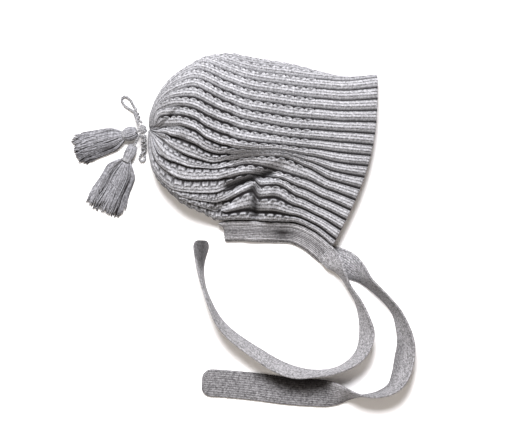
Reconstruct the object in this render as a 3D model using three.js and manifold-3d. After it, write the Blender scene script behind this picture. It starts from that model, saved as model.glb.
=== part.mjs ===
// A hand-knitted baby bonnet that lies on its side on a flat surface, in millimetres with +Z up.
// The crown is one ribbed sheet. It folds over the top of the head, closes behind the nape and is drawn
// together at the back by a cord, which is tied in a bow with two tassels. A band edges the neck, and a
// wide tie runs on from each of its front ends. +X points from the gather to the face edge, and +Y from
// the neck to the top of the head. The surface that the bonnet lies on is Z = 0.
import * as THREE from "three";
import { mergeVertices } from "three/addons/utils/BufferGeometryUtils.js";
import Module from "manifold-3d";

// Driving dimensions of the crown
const CROWN_DEPTH = 212; // gather to face edge
const FACE_EDGE = 170; // the face edge as it lies folded, top to neckband
const LOFT = 56; // greatest height of the crown as it lies
const RIBS_NEAR = 15.6; // ribs on the upper side, from groove 0 at the top fold to the neck edge
const RIBS_FAR = 16.4; // ribs on the side underneath
const WALL = 2.4; // thickness of the knitting in a groove
const RIB_RELIEF = 2.2; // how far a rib stands out of its grooves
const RIB_SHOULDER = 0.3; // where a rib's flat top starts, as a share of its width
const GATHER_THICKNESS = 0.1; // share of the knitting that is bunched solid at the gather
const GATHER_HOLLOW = 5; // how far the hollow's rounded end lies ahead of the bunched knitting

// Driving dimensions of the neckband and the ties
const BAND_WIDTH = 20;
const BAND_THICKNESS = 3;
const BAND_RIBS = 4;
const BAND_RELIEF = 0.6;
const TIE_WIDTH = 25.5;
const TIE_THICKNESS = 2.8;
const TIE_NEAR_LENGTH = 336;
const TIE_FAR_LENGTH = 340;
const TIE_CORNER = 9; // radius of the tie's rounded end

// Driving dimensions of the draw cord and the tassels
const CORD_DIAMETER = 2.6;
const KNOT_DIAMETER = 9;
const TASSEL_LENGTH = 63; // middle of the head to the tip of the skirt
const TASSEL_HEAD = 13.5; // diameter of the head
const TASSEL_LOCKS = 7; // locks of yarn across the skirt
const LOCK_WIDTH = 8.5;
// The form of a lock, as shares of its width, its length or the head: its width at the neck and how much it
// swells, its half height at the neck and where it lies, where along it the two heights and the landing on the
// surface are reached, and how much it still flares towards the tip.
const LOCK = { neck: 0.62, swell: 0.42, neckHeight: 0.3, halfHeight: 0.4, settled: 0.6, landed: 0.4, flare: 0.12 };
const NECK_SEAT = 0.8; // how far from the head's middle the skirt starts, as a share of the head's half length
const TAIL_SEAT = 0.5; // how deep the cord runs into the head, as a share of its radius
const WRAP_SINK = 0.4; // how deep the turn of cord sinks into the knot, as a share of its diameter

const SEAM_GAP = 0.3; // between neighbouring pieces
const RADIANS = Math.PI / 180;

// How finely the pieces are divided
const OPEN_ROWS = 11; // rows of the crown from the face edge to the nape
const BACK_ROWS = 11; // rows behind the nape
const BACK_ROWS_INSIDE = 7;
const BACK_CROWDING = 1.25; // over 1, rows stand closer together near the gather
const BAND_TURN_ROWS = 8;
const TIE_STEPS = 54;
const TIE_END_CROWDING = 0.12; // over 0, steps stand closer together near a tie's free end
const FAR_SAMPLES = 48;
const CORD_SIDES = 8;
const LOOP_STEPS = 24;

// Sections of the crown, from the face edge to the gather. "at" is the share of the way along the knitting.
// topX, topY and lowX, lowY are the section's two ends and bow its swing forward between them: X as shares
// of CROWN_DEPTH and Y as shares of FACE_EDGE. crest, fold, bed and nearLip are heights as shares of LOFT:
// the upper side, the fold over the head, the side underneath and the upper neck edge. square says how
// squarely the upper side rises, and drop how much of its height is lost below the long fold.
// prettier-ignore
const SECTIONS = [
  { at: 0.000, topX: 1.000, topY: 0.298, lowX: 0.802, lowY: -0.633, bow: 0.061, crest: 0.40, fold: 0.18, bed: 0.00, nearLip: 0.31, square: 3.4, drop: 0.00, relief: 1.00 },
  { at: 0.107, topX: 0.874, topY: 0.287, lowX: 0.715, lowY: -0.547, bow: 0.040, crest: 0.49, fold: 0.20, bed: 0.00, nearLip: 0.31, square: 3.2, drop: 0.05, relief: 1.00 },
  { at: 0.213, topX: 0.745, topY: 0.314, lowX: 0.622, lowY: -0.503, bow: 0.026, crest: 0.60, fold: 0.24, bed: 0.00, nearLip: 0.31, square: 3.0, drop: 0.20, relief: 1.00 },
  { at: 0.328, topX: 0.615, topY: 0.352, lowX: 0.520, lowY: -0.500, bow: 0.018, crest: 0.74, fold: 0.29, bed: 0.00, nearLip: 0.31, square: 2.8, drop: 0.40, relief: 1.00 },
  { at: 0.451, topX: 0.485, topY: 0.379, lowX: 0.400, lowY: -0.492, bow: 0.012, crest: 0.87, fold: 0.34, bed: 0.00, nearLip: 0.31, square: 2.6, drop: 0.52, relief: 1.00 },
  { at: 0.520, topX: 0.411, topY: 0.395, lowX: 0.335, lowY: -0.495, bow: 0.008, crest: 0.94, fold: 0.37, bed: 0.00, nearLip: 0.31, square: 2.5, drop: 0.50, relief: 1.00 },
  { at: 0.561, topX: 0.363, topY: 0.405, lowX: 0.304, lowY: -0.495, bow: 0.008, crest: 0.97, fold: 0.39, bed: 0.00, nearLip: 0.20, square: 2.5, drop: 0.44, relief: 1.00 },
  { at: 0.648, topX: 0.267, topY: 0.395, lowX: 0.237, lowY: -0.457, bow: 0.012, crest: 1.00, fold: 0.41, bed: 0.00, nearLip: 0.28, square: 2.4, drop: 0.34, relief: 1.00 },
  { at: 0.730, topX: 0.183, topY: 0.346, lowX: 0.154, lowY: -0.409, bow: 0.035, crest: 1.00, fold: 0.43, bed: 0.00, nearLip: 0.34, square: 2.3, drop: 0.22, relief: 1.00 },
  { at: 0.801, topX: 0.113, topY: 0.290, lowX: 0.085, lowY: -0.335, bow: 0.048, crest: 0.95, fold: 0.43, bed: 0.00, nearLip: 0.36, square: 2.2, drop: 0.12, relief: 0.95 },
  { at: 0.871, topX: 0.054, topY: 0.208, lowX: 0.037, lowY: -0.268, bow: 0.060, crest: 0.84, fold: 0.41, bed: 0.02, nearLip: 0.36, square: 2.1, drop: 0.05, relief: 0.85 },
  { at: 0.930, topX: 0.017, topY: 0.119, lowX: 0.009, lowY: -0.189, bow: 0.054, crest: 0.68, fold: 0.37, bed: 0.07, nearLip: 0.35, square: 2.0, drop: 0.00, relief: 0.65 },
  { at: 0.975, topX: 0.003, topY: 0.060, lowX: -0.002, lowY: -0.097, bow: 0.036, crest: 0.50, fold: 0.33, bed: 0.15, nearLip: 0.32, square: 2.0, drop: 0.00, relief: 0.40 },
  { at: 1.000, topX: 0.002, topY: 0.022, lowX: -0.002, lowY: -0.027, bow: 0.006, crest: 0.38, fold: 0.30, bed: 0.22, nearLip: 0.30, square: 2.0, drop: 0.00, relief: 0.10 },
];
const NAPE_AT = 0.561; // behind it the two neck edges are one
const LAST_OPEN_AT = 0.52;

// Where the ribs' grooves run on the upper side: "turn" is the rib that lies on the fold over the head, and
// the other columns are the share of the way across at which that groove runs.
// prettier-ignore
const GROOVES = [
  { at: 0.000, turn: -0.10, g3: 0.203, g6: 0.407, g8: 0.529, g10: 0.663, g11: 0.730, g13: 0.849 },
  { at: 0.107, turn: -0.20, g3: 0.219, g6: 0.425, g8: 0.558, g10: 0.677, g11: 0.738, g13: 0.857 },
  { at: 0.213, turn: -0.45, g3: 0.245, g6: 0.450, g8: 0.563, g10: 0.639, g11: 0.712, g13: 0.837 },
  { at: 0.328, turn: -0.60, g3: 0.262, g6: 0.460, g8: 0.554, g10: 0.592, g11: 0.678, g13: 0.770 },
  { at: 0.451, turn: -0.70, g3: 0.262, g6: 0.452, g8: 0.568, g10: 0.609, g11: 0.655, g13: 0.809 },
  { at: 0.561, turn: -0.80, g3: 0.236, g6: 0.426, g8: 0.563, g10: 0.654, g11: 0.696, g13: 0.845 },
  { at: 0.648, turn: -0.50, g3: 0.178, g6: 0.394, g8: 0.546, g10: 0.688, g11: 0.730, g13: 0.889 },
  { at: 0.730, turn: -0.20, g3: 0.102, g6: 0.323, g8: 0.484, g10: 0.683, g11: 0.754, g13: 0.927 },
  { at: 0.801, turn: 0.00, g3: 0.078, g6: 0.271, g8: 0.456, g10: 0.688, g11: 0.780, g13: 0.980 },
  { at: 0.871, turn: 0.00, g3: 0.040, g6: 0.187, g8: 0.420, g10: 0.670, g11: 0.807, g13: 0.985 },
  { at: 0.930, turn: 0.00, g3: 0.025, g6: 0.100, g8: 0.350, g10: 0.614, g11: 0.820, g13: 0.985 },
  { at: 1.000, turn: 0.00, g3: 0.070, g6: 0.260, g8: 0.450, g10: 0.660, g11: 0.800, g13: 0.960 },
];
const GROOVE_COLUMNS = [["g3", 3], ["g6", 6], ["g8", 8], ["g10", 10], ["g11", 11], ["g13", 13]];

// Soft folds and dents of the upper side. at and across place the middle, as shares along the knitting and
// across the section; long and wide are its spread in the same shares, and lift its height as a share of LOFT.
// prettier-ignore
const FOLDS = [
  { at: 0.44, across: 0.535, long: 0.16, wide: 0.050, lift: 0.07 }, // roll of cloth above the long fold
  { at: 0.47, across: 0.670, long: 0.09, wide: 0.045, lift: -0.09 }, // hollow under it
  { at: 0.39, across: 0.840, long: 0.06, wide: 0.070, lift: 0.09 }, // second, short roll near the neck
  { at: 0.35, across: 0.960, long: 0.06, wide: 0.035, lift: -0.07 }, // pucker over the band
  { at: 0.57, across: 0.930, long: 0.05, wide: 0.050, lift: -0.07 }, // pucker at the nape
  { at: 0.92, across: 0.400, long: 0.05, wide: 0.070, lift: -0.10 }, // valley that runs into the gather
  { at: 0.70, across: 0.300, long: 0.12, wide: 0.160, lift: 0.03 }, // fullness over the back of the head
];

// Routes of the ties: x and y from the band's front end, as shares of the tie's length. roll turns the tie
// about its route, 0 flat and 90 on its edge, and lift raises it over the other tie, as a share of its width.
// prettier-ignore
const TIE_NEAR_ROUTE = [
  { x: 0.000, y: 0.000, roll: 28, lift: 0.190 },
  { x: 0.022, y: -0.024, roll: 52, lift: 0.300 },
  { x: 0.044, y: -0.055, roll: 78, lift: 0.240 },
  { x: 0.062, y: -0.088, roll: 84, lift: 0.080 },
  { x: 0.084, y: -0.122, roll: 80, lift: 0.000 },
  { x: 0.100, y: -0.165, roll: 70, lift: 0.000 },
  { x: 0.107, y: -0.209, roll: 60, lift: 0.000 },
  { x: 0.095, y: -0.253, roll: 68, lift: 0.000 },
  { x: 0.066, y: -0.283, roll: 78, lift: 0.000 },
  { x: 0.026, y: -0.302, roll: 83, lift: 0.000 },
  { x: -0.026, y: -0.309, roll: 80, lift: 0.000 },
  { x: -0.077, y: -0.306, roll: 69, lift: 0.000 },
  { x: -0.124, y: -0.289, roll: 66, lift: 0.000 },
  { x: -0.168, y: -0.262, roll: 68, lift: 0.000 },
  { x: -0.211, y: -0.233, roll: 71, lift: 0.000 },
  { x: -0.246, y: -0.205, roll: 74, lift: 0.000 },
  { x: -0.272, y: -0.175, roll: 78, lift: 0.000 },
  { x: -0.292, y: -0.136, roll: 83, lift: 0.000 },
  { x: -0.309, y: -0.090, roll: 86, lift: 0.000 },
  { x: -0.319, y: -0.036, roll: 78, lift: 0.000 },
  { x: -0.316, y: 0.032, roll: 50, lift: 0.000 },
];
// prettier-ignore
const TIE_FAR_ROUTE = [
  { x: 0.000, y: 0.000, roll: 0, lift: 0.005 },
  { x: 0.046, y: -0.022, roll: 8, lift: 0.005 },
  { x: 0.084, y: -0.047, roll: 40, lift: 0.000 },
  { x: 0.118, y: -0.078, roll: 70, lift: 0.000 },
  { x: 0.168, y: -0.126, roll: 75, lift: 0.000 },
  { x: 0.195, y: -0.162, roll: 72, lift: 0.000 },
  { x: 0.211, y: -0.206, roll: 62, lift: 0.000 },
  { x: 0.218, y: -0.244, roll: 54, lift: 0.000 },
  { x: 0.214, y: -0.285, roll: 48, lift: 0.000 },
  { x: 0.201, y: -0.333, roll: 56, lift: 0.000 },
  { x: 0.180, y: -0.362, roll: 72, lift: 0.000 },
  { x: 0.145, y: -0.378, roll: 83, lift: 0.000 },
  { x: 0.106, y: -0.382, roll: 93, lift: 0.000 },
  { x: 0.070, y: -0.380, roll: 112, lift: 0.000 },
  { x: 0.034, y: -0.379, roll: 145, lift: 0.000 },
  { x: -0.016, y: -0.377, roll: 176, lift: 0.000 },
  { x: -0.095, y: -0.372, roll: 180, lift: 0.000 },
  { x: -0.189, y: -0.360, roll: 180, lift: 0.000 },
  { x: -0.271, y: -0.352, roll: 180, lift: 0.000 },
  { x: -0.330, y: -0.349, roll: 180, lift: 0.000 },
];

// Where the tassels lie. headX and headY place the head's middle from the knot, length and spread are the
// skirt's, all as shares of TASSEL_LENGTH. heading is the way that the skirt points, in degrees, and plump and
// long are the head's width and length as shares of TASSEL_HEAD.
// prettier-ignore
const TASSELS = [
  { name: "tassel_upper", headX: -0.197, headY: -0.059, heading: 197, length: 0.90, spread: 0.36, plump: 1.00, long: 1.05 },
  { name: "tassel_lower", headX: -0.200, headY: -0.345, heading: 244, length: 1.00, spread: 0.48, plump: 0.78, long: 1.30 },
];

// Routes of the bow's two loops, from the knot's middle, in millimetres. They are free cord.
const LOOP_UPPER = [
  [-0.9, 5.6, 1.3], [-2.4, 9.3, -2.0], [-4.5, 14.1, -9.0], [-6.8, 19.1, -13.6], [-9.9, 23.2, -14.6],
  [-12.9, 26.6, -14.8], [-16.3, 29.2, -14.8], [-17.6, 29.8, -14.8], [-18.9, 29.2, -14.8], [-19.5, 27.9, -14.8],
  [-18.9, 26.6, -14.8], [-16.5, 23.0, -14.8], [-13.1, 20.0, -14.6], [-9.8, 17.2, -13.6], [-7.6, 12.7, -9.0],
  [-5.6, 7.9, -2.0], [-3.9, 4.2, 1.2],
];
const LOOP_LOWER = [
  [2.2, -5.5, 0.7], [2.3, -10.0, -4.0], [1.9, -17.0, -12.0], [0.9, -22.3, -14.8], [0.25, -26.9, -14.8],
  [-0.3, -28.1, -14.8], [-1.5, -28.7, -14.8], [-2.7, -28.1, -14.8], [-3.2, -26.9, -14.8], [-2.6, -22.5, -14.8],
  [-1.5, -17.0, -12.0], [-1.1, -10.0, -4.0], [-1.0, -5.6, 0.7],
];

const wasm = await Module();
wasm.setup();

// Curves through named columns

// A smooth curve through points with rising keys that never overshoots them.
function curveThrough(keys, values) {
  const slopes = keys.slice(1).map((key, i) => (values[i + 1] - values[i]) / (key - keys[i]));
  const tangents = keys.map((key, i) => {
    const before = slopes[Math.max(i - 1, 0)];
    const after = slopes[Math.min(i, slopes.length - 1)];
    if (before * after <= 0) return 0;
    return (2 * before * after) / (before + after);
  });
  return (key) => {
    const last = keys.length - 2;
    const i = Math.min(last, Math.max(0, keys.findIndex((k, n) => n > last || key < keys[n + 1])));
    const step = keys[i + 1] - keys[i];
    const t = Math.min(1, Math.max(0, (key - keys[i]) / step));
    const rise = values[i + 1] - values[i];
    const bend = tangents[i] * step * t * (1 - t) ** 2 - tangents[i + 1] * step * t * t * (1 - t);
    return values[i] + rise * t * t * (3 - 2 * t) + bend;
  };
}

function columnCurves(rows) {
  const keys = rows.map((row) => row.at);
  const names = Object.keys(rows[0]).filter((name) => name !== "at");
  return Object.fromEntries(names.map((name) => [name, curveThrough(keys, rows.map((row) => row[name]))]));
}

const mix = (a, b, t) => a + (b - a) * t;
const shares = (count) => Array.from({ length: count + 1 }, (_, i) => i / count);
const smoothStep = (from, to, x) => THREE.MathUtils.smoothstep(x, from, to);
const sectionAt = columnCurves(SECTIONS);
const grooveAt = columnCurves(GROOVES);

// The crown's surface

// The share of the way across the upper side at which a rib runs.
function acrossNear(at, rib) {
  const keys = [grooveAt.turn(at), ...GROOVE_COLUMNS.map(([, groove]) => groove), RIBS_NEAR];
  const shares = [0, ...GROOVE_COLUMNS.map(([name]) => grooveAt[name](at)), 1];
  return curveThrough(keys, shares)(rib);
}

const DROP_LEAD = 0.03; // how far ahead of groove 8 the upper side starts to drop, as a share of the way across
const archAt = (across, squareness) => (1 - Math.abs(2 * across - 1) ** squareness) ** (1 / squareness);

// The height of the side underneath, from "base" at its edges down to "bed" in its flat middle.
function farHeight(at, across, inset) {
  const lip = at < NAPE_AT ? inset : sectionAt.nearLip(at) * LOFT;
  const base = mix(sectionAt.fold(at) * LOFT, lip, across);
  const square = mix(FAR_SQUARE.front, FAR_SQUARE.back, smoothStep(FAR_TURNS.from, FAR_TURNS.to, at));
  const arch = Math.min(1, archAt(across, square) * FAR_FLAT);
  return base - (base - sectionAt.bed(at) * LOFT - inset) * arch;
}
const FAR_FLAT = 1.012; // makes the middle of the side underneath lie quite flat
const FAR_SQUARE = { front: 5, back: 2.6 }; // how squarely the side underneath falls to the surface
const FAR_TURNS = { from: 0.3, to: 0.9 }; // the stretch of the knitting over which "front" gives way to "back"

// The share of the way across the side underneath at which a rib runs: the ribs share its length evenly.
function acrossFar(at, rib) {
  const width = Math.hypot(
    (sectionAt.topX(at) - sectionAt.lowX(at)) * CROWN_DEPTH,
    (sectionAt.topY(at) - sectionAt.lowY(at)) * FACE_EDGE,
  );
  const across = shares(FAR_SAMPLES).map((share) => (1 - Math.cos(Math.PI * share)) / 2);
  const lengths = [0];
  for (let i = 1; i < across.length; i++) {
    const fall = farHeight(at, across[i], 0) - farHeight(at, across[i - 1], 0);
    lengths.push(lengths[i - 1] + Math.hypot((across[i] - across[i - 1]) * width, fall));
  }
  const turn = grooveAt.turn(at);
  const goal = ((turn - rib) / (turn + RIBS_FAR)) * lengths.at(-1);
  const i = Math.min(FAR_SAMPLES, Math.max(1, lengths.findIndex((length) => length >= goal)));
  return mix(across[i - 1], across[i], Math.min(1, (goal - lengths[i - 1]) / (lengths[i] - lengths[i - 1])));
}

function foldLift(at, across) {
  const lifts = FOLDS.map((fold) => {
    const along = (at - fold.at) / fold.long;
    const sideways = (across - fold.across) / fold.wide;
    return fold.lift * Math.exp(-along * along - sideways * sideways);
  });
  return lifts.reduce((sum, lift) => sum + lift, 0);
}

// A point of the crown, "inset" millimetres inside its outer surface.
function crownPoint(at, rib, inset) {
  const open = at < NAPE_AT - 1e-6;
  const near = rib >= grooveAt.turn(at);
  const across = near ? acrossNear(at, rib) : acrossFar(at, rib);
  const top = new THREE.Vector2(sectionAt.topX(at) * CROWN_DEPTH, sectionAt.topY(at) * FACE_EDGE);
  const low = new THREE.Vector2(sectionAt.lowX(at) * CROWN_DEPTH, sectionAt.lowY(at) * FACE_EDGE);
  const inward = low.clone().sub(top).normalize().multiplyScalar(inset);
  top.add(inward);
  if (!open) low.sub(inward);
  const place = top.clone().lerp(low, across);
  place.x += sectionAt.bow(at) * CROWN_DEPTH * Math.sin(Math.PI * across);
  let height;
  if (near) {
    const lip = sectionAt.nearLip(at) * LOFT - (open ? inset : 0);
    const base = mix(sectionAt.fold(at) * LOFT, lip, across);
    const loss = sectionAt.drop(at) * smoothStep(grooveAt.g8(at) - DROP_LEAD, grooveAt.g11(at), across);
    const crest = sectionAt.crest(at) * LOFT - inset;
    height = base + (crest - base) * archAt(across, sectionAt.square(at)) * (1 - loss);
    height += foldLift(at, across) * LOFT;
  } else height = farHeight(at, across, inset);
  return new THREE.Vector3(place.x, place.y, height);
}

// Where the crown is drawn together, at its back end.
const gatherEnd = new THREE.Vector3(
  sectionAt.lowX(1) * CROWN_DEPTH,
  ((sectionAt.topY(1) + sectionAt.lowY(1)) / 2) * FACE_EDGE,
  ((sectionAt.crest(1) + sectionAt.bed(1)) / 2) * LOFT,
);

// Meshes

function meshBuilder() {
  const positions = [];
  const triangles = [];
  const vertex = (point) => positions.push(point.x, point.y, point.z) / 3 - 1;
  const triangle = (a, b, c) => {
    if (a !== b && b !== c && c !== a) triangles.push(a, b, c);
  };
  const quad = (a, b, c, d) => {
    triangle(a, b, c);
    triangle(a, c, d);
  };
  const geometry = () => {
    const shape = new THREE.BufferGeometry();
    shape.setAttribute("position", new THREE.Float32BufferAttribute(positions, 3));
    shape.setIndex(triangles);
    return facingOut(shape);
  };
  return { vertex, triangle, quad, geometry };
}

function facingOut(shape) {
  const p = shape.attributes.position;
  const index = shape.index.array;
  let volume = 0;
  for (let i = 0; i < index.length; i += 3) {
    const [a, b, c] = [0, 1, 2].map((k) => new THREE.Vector3().fromBufferAttribute(p, index[i + k]));
    volume += a.dot(b.cross(c));
  }
  if (volume < 0) {
    for (let i = 0; i < index.length; i += 3) [index[i], index[i + 1]] = [index[i + 1], index[i]];
  }
  return shape;
}

// Joins two lines of vertices that have the same rising keys at their ends.
function stitch(mesh, lineA, keysA, lineB, keysB) {
  let [a, b] = [0, 0];
  while (a < lineA.length - 1 || b < lineB.length - 1) {
    const stepA = b === lineB.length - 1 || (a < lineA.length - 1 && keysA[a + 1] <= keysB[b + 1]);
    if (stepA) mesh.triangle(lineA[a], lineA[++a], lineB[b]);
    else mesh.triangle(lineA[a], lineB[b + 1], lineB[b++]);
  }
}

// Pieces

const OPEN_STATIONS = shares(OPEN_ROWS).map((share) => share * LAST_OPEN_AT);

// The ribs at which the knitting has a line of vertices: each groove and the shoulders of each rib.
function ribLines(shoulders) {
  const lines = [-RIBS_FAR];
  for (let groove = Math.ceil(-RIBS_FAR); groove < RIBS_NEAR; groove++) {
    lines.push(groove, ...shoulders.map((share) => groove + share).filter((rib) => rib < RIBS_NEAR));
  }
  return [...lines, RIBS_NEAR];
}

function makeCrown() {
  const mesh = meshBuilder();
  const back = shares(BACK_ROWS).map((share) => mix(NAPE_AT, 1, 1 - (1 - share) ** BACK_CROWDING));
  const backInside = shares(BACK_ROWS_INSIDE).map((share) => mix(NAPE_AT, 1 - GATHER_THICKNESS, share));
  const isGroove = (rib) => Number.isInteger(rib);

  // One sheet of vertices, with the seam's two edges as one behind the nape.
  const sheet = (stations, ribs, insetOf) =>
    stations.map((at) => {
      const row = ribs.map((rib) => (closedSeam(at, rib) ? -1 : mesh.vertex(crownPoint(at, rib, insetOf(at, rib)))));
      if (row.at(-1) < 0) row[row.length - 1] = row[0];
      return row;
    });
  const closedSeam = (at, rib) => at >= NAPE_AT && rib === RIBS_NEAR;
  const skin = (rows) => {
    for (let j = 0; j + 1 < rows.length; j++) {
      for (let i = 0; i + 1 < rows[j].length; i++) {
        mesh.quad(rows[j][i], rows[j][i + 1], rows[j + 1][i + 1], rows[j + 1][i]);
      }
    }
  };
  const close = (row, pole) => {
    for (let i = 0; i + 1 < row.length; i++) mesh.triangle(row[i], row[i + 1], pole);
  };

  const outerRibs = ribLines([RIB_SHOULDER, 1 - RIB_SHOULDER]);
  const innerRibs = ribLines([]);
  const outer = sheet([...OPEN_STATIONS, ...back], outerRibs, (at, rib) => (isGroove(rib) ? RIB_RELIEF * sectionAt.relief(at) : 0));
  const inner = sheet([...OPEN_STATIONS, ...backInside], innerRibs, () => WALL + RIB_RELIEF);
  skin(outer);
  skin(inner.map((row) => [...row].reverse()));
  close(outer.at(-1), mesh.vertex(gatherEnd));
  const innerEnd = crownPoint(1 - GATHER_THICKNESS, 0, WALL + RIB_RELIEF);
  const innerMiddle = (sectionAt.crest(1 - GATHER_THICKNESS) * LOFT) / 2;
  close([...inner.at(-1)].reverse(), mesh.vertex(new THREE.Vector3(innerEnd.x + GATHER_HOLLOW, 0, innerMiddle)));
  stitch(mesh, [...inner[0]], innerRibs, [...outer[0]], outerRibs);
  for (let j = 0; j < OPEN_STATIONS.length; j++) {
    mesh.quad(outer[j][0], outer[j + 1][0], inner[j + 1][0], inner[j][0]);
    mesh.quad(inner[j].at(-1), inner[j + 1].at(-1), outer[j + 1].at(-1), outer[j].at(-1));
  }
  return mesh.geometry();
}

// A solid strip through sections that each hold an upper and a lower line of points, side by side.
function stripSolid(sections) {
  const mesh = meshBuilder();
  const rows = sections.map(({ upper, lower }) => [...upper, ...[...lower].reverse()].map(mesh.vertex));
  const count = rows[0].length;
  for (let j = 0; j + 1 < rows.length; j++) {
    for (let i = 0; i < count; i++) {
      const next = (i + 1) % count;
      mesh.quad(rows[j][i], rows[j][next], rows[j + 1][next], rows[j + 1][i]);
    }
  }
  const half = count / 2;
  for (let i = 0; i + 1 < half; i++) {
    const first = rows[0];
    const last = rows.at(-1);
    mesh.quad(first[i + 1], first[i], first[count - 1 - i], first[count - 2 - i]);
    mesh.quad(last[i], last[i + 1], last[count - 2 - i], last[count - 1 - i]);
  }
  return mesh.geometry();
}

const RUN_SPAN = 0.01; // share of the knitting over which the way that an edge runs is measured

// The two edges of the neckband: where it meets the crown, and where it ends. "side" is 1 above, -1 below.
function bandEdges(at, side) {
  const lipAt = (station) => {
    const rib = side > 0 ? RIBS_NEAR : -RIBS_FAR;
    return crownPoint(station, rib, (WALL + RIB_RELIEF) / 2);
  };
  const lip = lipAt(at);
  const run = lipAt(Math.max(0, at - RUN_SPAN)).sub(lipAt(at + RUN_SPAN));
  const away = new THREE.Vector3(run.y, -run.x, 0).normalize();
  const restHeight = side > 0 ? BAND_THICKNESS * 1.5 + SEAM_GAP + BAND_RELIEF : BAND_THICKNESS / 2;
  const inner = lip.setZ(side > 0 ? lip.z : restHeight);
  const fall = inner.z - restHeight;
  inner.addScaledVector(away, SEAM_GAP + (BAND_THICKNESS / 2) * (fall / BAND_WIDTH));
  const outer = inner.clone().addScaledVector(away, Math.sqrt(BAND_WIDTH ** 2 - fall ** 2));
  outer.z = restHeight;
  return { inner, outer };
}

function bandRows() {
  const above = OPEN_STATIONS.map((at) => bandEdges(at, 1));
  const below = OPEN_STATIONS.map((at) => bandEdges(at, -1)).reverse();
  const [start, end] = [above.at(-1), below[0]];
  const turn = shares(BAND_TURN_ROWS).slice(1, -1).map((share) => {
    const swing = Math.PI * share;
    const around = (from, to) => {
      const radius = (from.z - to.z) / 2;
      const point = from.clone().lerp(to, (1 - Math.cos(swing)) / 2);
      point.x = mix(from.x, to.x, share) - radius * Math.sin(swing);
      return point;
    };
    return { inner: around(start.inner, end.inner), outer: around(start.outer, end.outer) };
  });
  return [...above, ...turn, ...below];
}

function makeNeckband() {
  const rows = bandRows();
  const centre = rows.map(({ inner, outer }) => inner.clone().lerp(outer, 0.5));
  const sections = rows.map(({ inner, outer }, j) => {
    const along = centre[Math.min(j + 1, rows.length - 1)].clone().sub(centre[Math.max(j - 1, 0)]);
    const across = outer.clone().sub(inner);
    const normal = along.cross(across).normalize().multiplyScalar(BAND_THICKNESS / 2);
    if (j === 0 && normal.z < 0) normal.negate();
    const steps = shares(BAND_RIBS * 2);
    const at = (share, side, sink) => inner.clone().lerp(outer, share).addScaledVector(normal, side * (1 - sink));
    const groove = (i) => (i % 2 === 0 ? (BAND_RELIEF / BAND_THICKNESS) * 2 : 0);
    return {
      upper: steps.map((share, i) => at(share, 1, groove(i))),
      lower: steps.map((share) => at(share, -1, 0)),
    };
  });
  return stripSolid(sections);
}

// A tie along its route from the end of the band, at its real length and with a rounded end.
function makeTie(route, length, startEdges) {
  const start = startEdges.inner.clone().lerp(startEdges.outer, 0.5);
  const startAcross = startEdges.inner.clone().sub(startEdges.outer).normalize();
  const columns = (name, scale) => route.map((row) => row[name] * scale);
  const points = route.map((row) => new THREE.Vector3(row.x * length, row.y * length, 0));
  const path = new THREE.CatmullRomCurve3(points, false, "centripetal");
  path.arcLengthDivisions = 1200;
  const pathLength = path.getLength();
  const scale = length / pathLength;
  const knots = points.map((_, i) => i / (points.length - 1));
  const rollAt = curveThrough(knots, columns("roll", RADIANS));
  const liftAt = curveThrough(knots, columns("lift", TIE_WIDTH));
  const steps = shares(TIE_STEPS).map((share) => mix(share, 1 - (1 - share) ** 2, TIE_END_CROWDING));
  const sections = steps.map((share) => {
    const knot = path.getUtoTmapping(share);
    const middle = path.getPoint(knot).multiplyScalar(scale).add(start);
    const along = path.getTangent(knot);
    const roll = rollAt(knot);
    const left = new THREE.Vector3(-along.y, along.x, 0).normalize();
    const rolled = left.clone().multiplyScalar(Math.cos(roll)).add(new THREE.Vector3(0, 0, Math.sin(roll)));
    const settled = smoothStep(0, TIE_SETTLES, share);
    const across = startAcross.clone().lerp(rolled, settled).normalize();
    const normal = new THREE.Vector3().crossVectors(along, across).normalize();
    const fromEnd = Math.min(TIE_CORNER, (1 - share) * length);
    const rounding = TIE_CORNER - Math.sqrt(TIE_CORNER ** 2 - (TIE_CORNER - fromEnd) ** 2);
    const width = mix(BAND_WIDTH, TIE_WIDTH, smoothStep(0, TIE_WIDENS, share));
    const thickness = (TIE_THICKNESS / 2) * Math.abs(Math.cos(roll));
    const height = (width / 2) * Math.abs(Math.sin(roll)) + thickness + liftAt(knot);
    middle.z = mix(start.z, height, settled);
    const half = width / 2 - rounding;
    const at = (sideways, up) => middle.clone().addScaledVector(across, sideways).addScaledVector(normal, up);
    const face = (up) => [at(half, up), at(0, up), at(-half, up)];
    return { upper: face(TIE_THICKNESS / 2), lower: face(-TIE_THICKNESS / 2) };
  });
  return stripSolid(sections);
}
const TIE_SETTLES = 0.06; // share of a tie over which it leaves the slope of the band
const TIE_WIDENS = 0.08; // share over which it widens from the band's width to its own

// Solids that are fused

function toSolid(geometry) {
  const bare = geometry.clone();
  bare.deleteAttribute("normal");
  bare.deleteAttribute("uv");
  const merged = mergeVertices(bare, 1e-4);
  const vertProperties = new Float32Array(merged.attributes.position.array);
  const triVerts = new Uint32Array(merged.index.array);
  return new wasm.Manifold(new wasm.Mesh({ numProp: 3, vertProperties, triVerts }));
}

function toGeometry(solid) {
  const { vertProperties, triVerts } = solid.getMesh();
  const geometry = new THREE.BufferGeometry();
  geometry.setAttribute("position", new THREE.BufferAttribute(vertProperties, 3));
  geometry.setIndex(new THREE.BufferAttribute(triVerts, 1));
  return geometry;
}

const fuse = (geometries) => toGeometry(geometries.map(toSolid).reduce((whole, piece) => whole.add(piece)));

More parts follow.
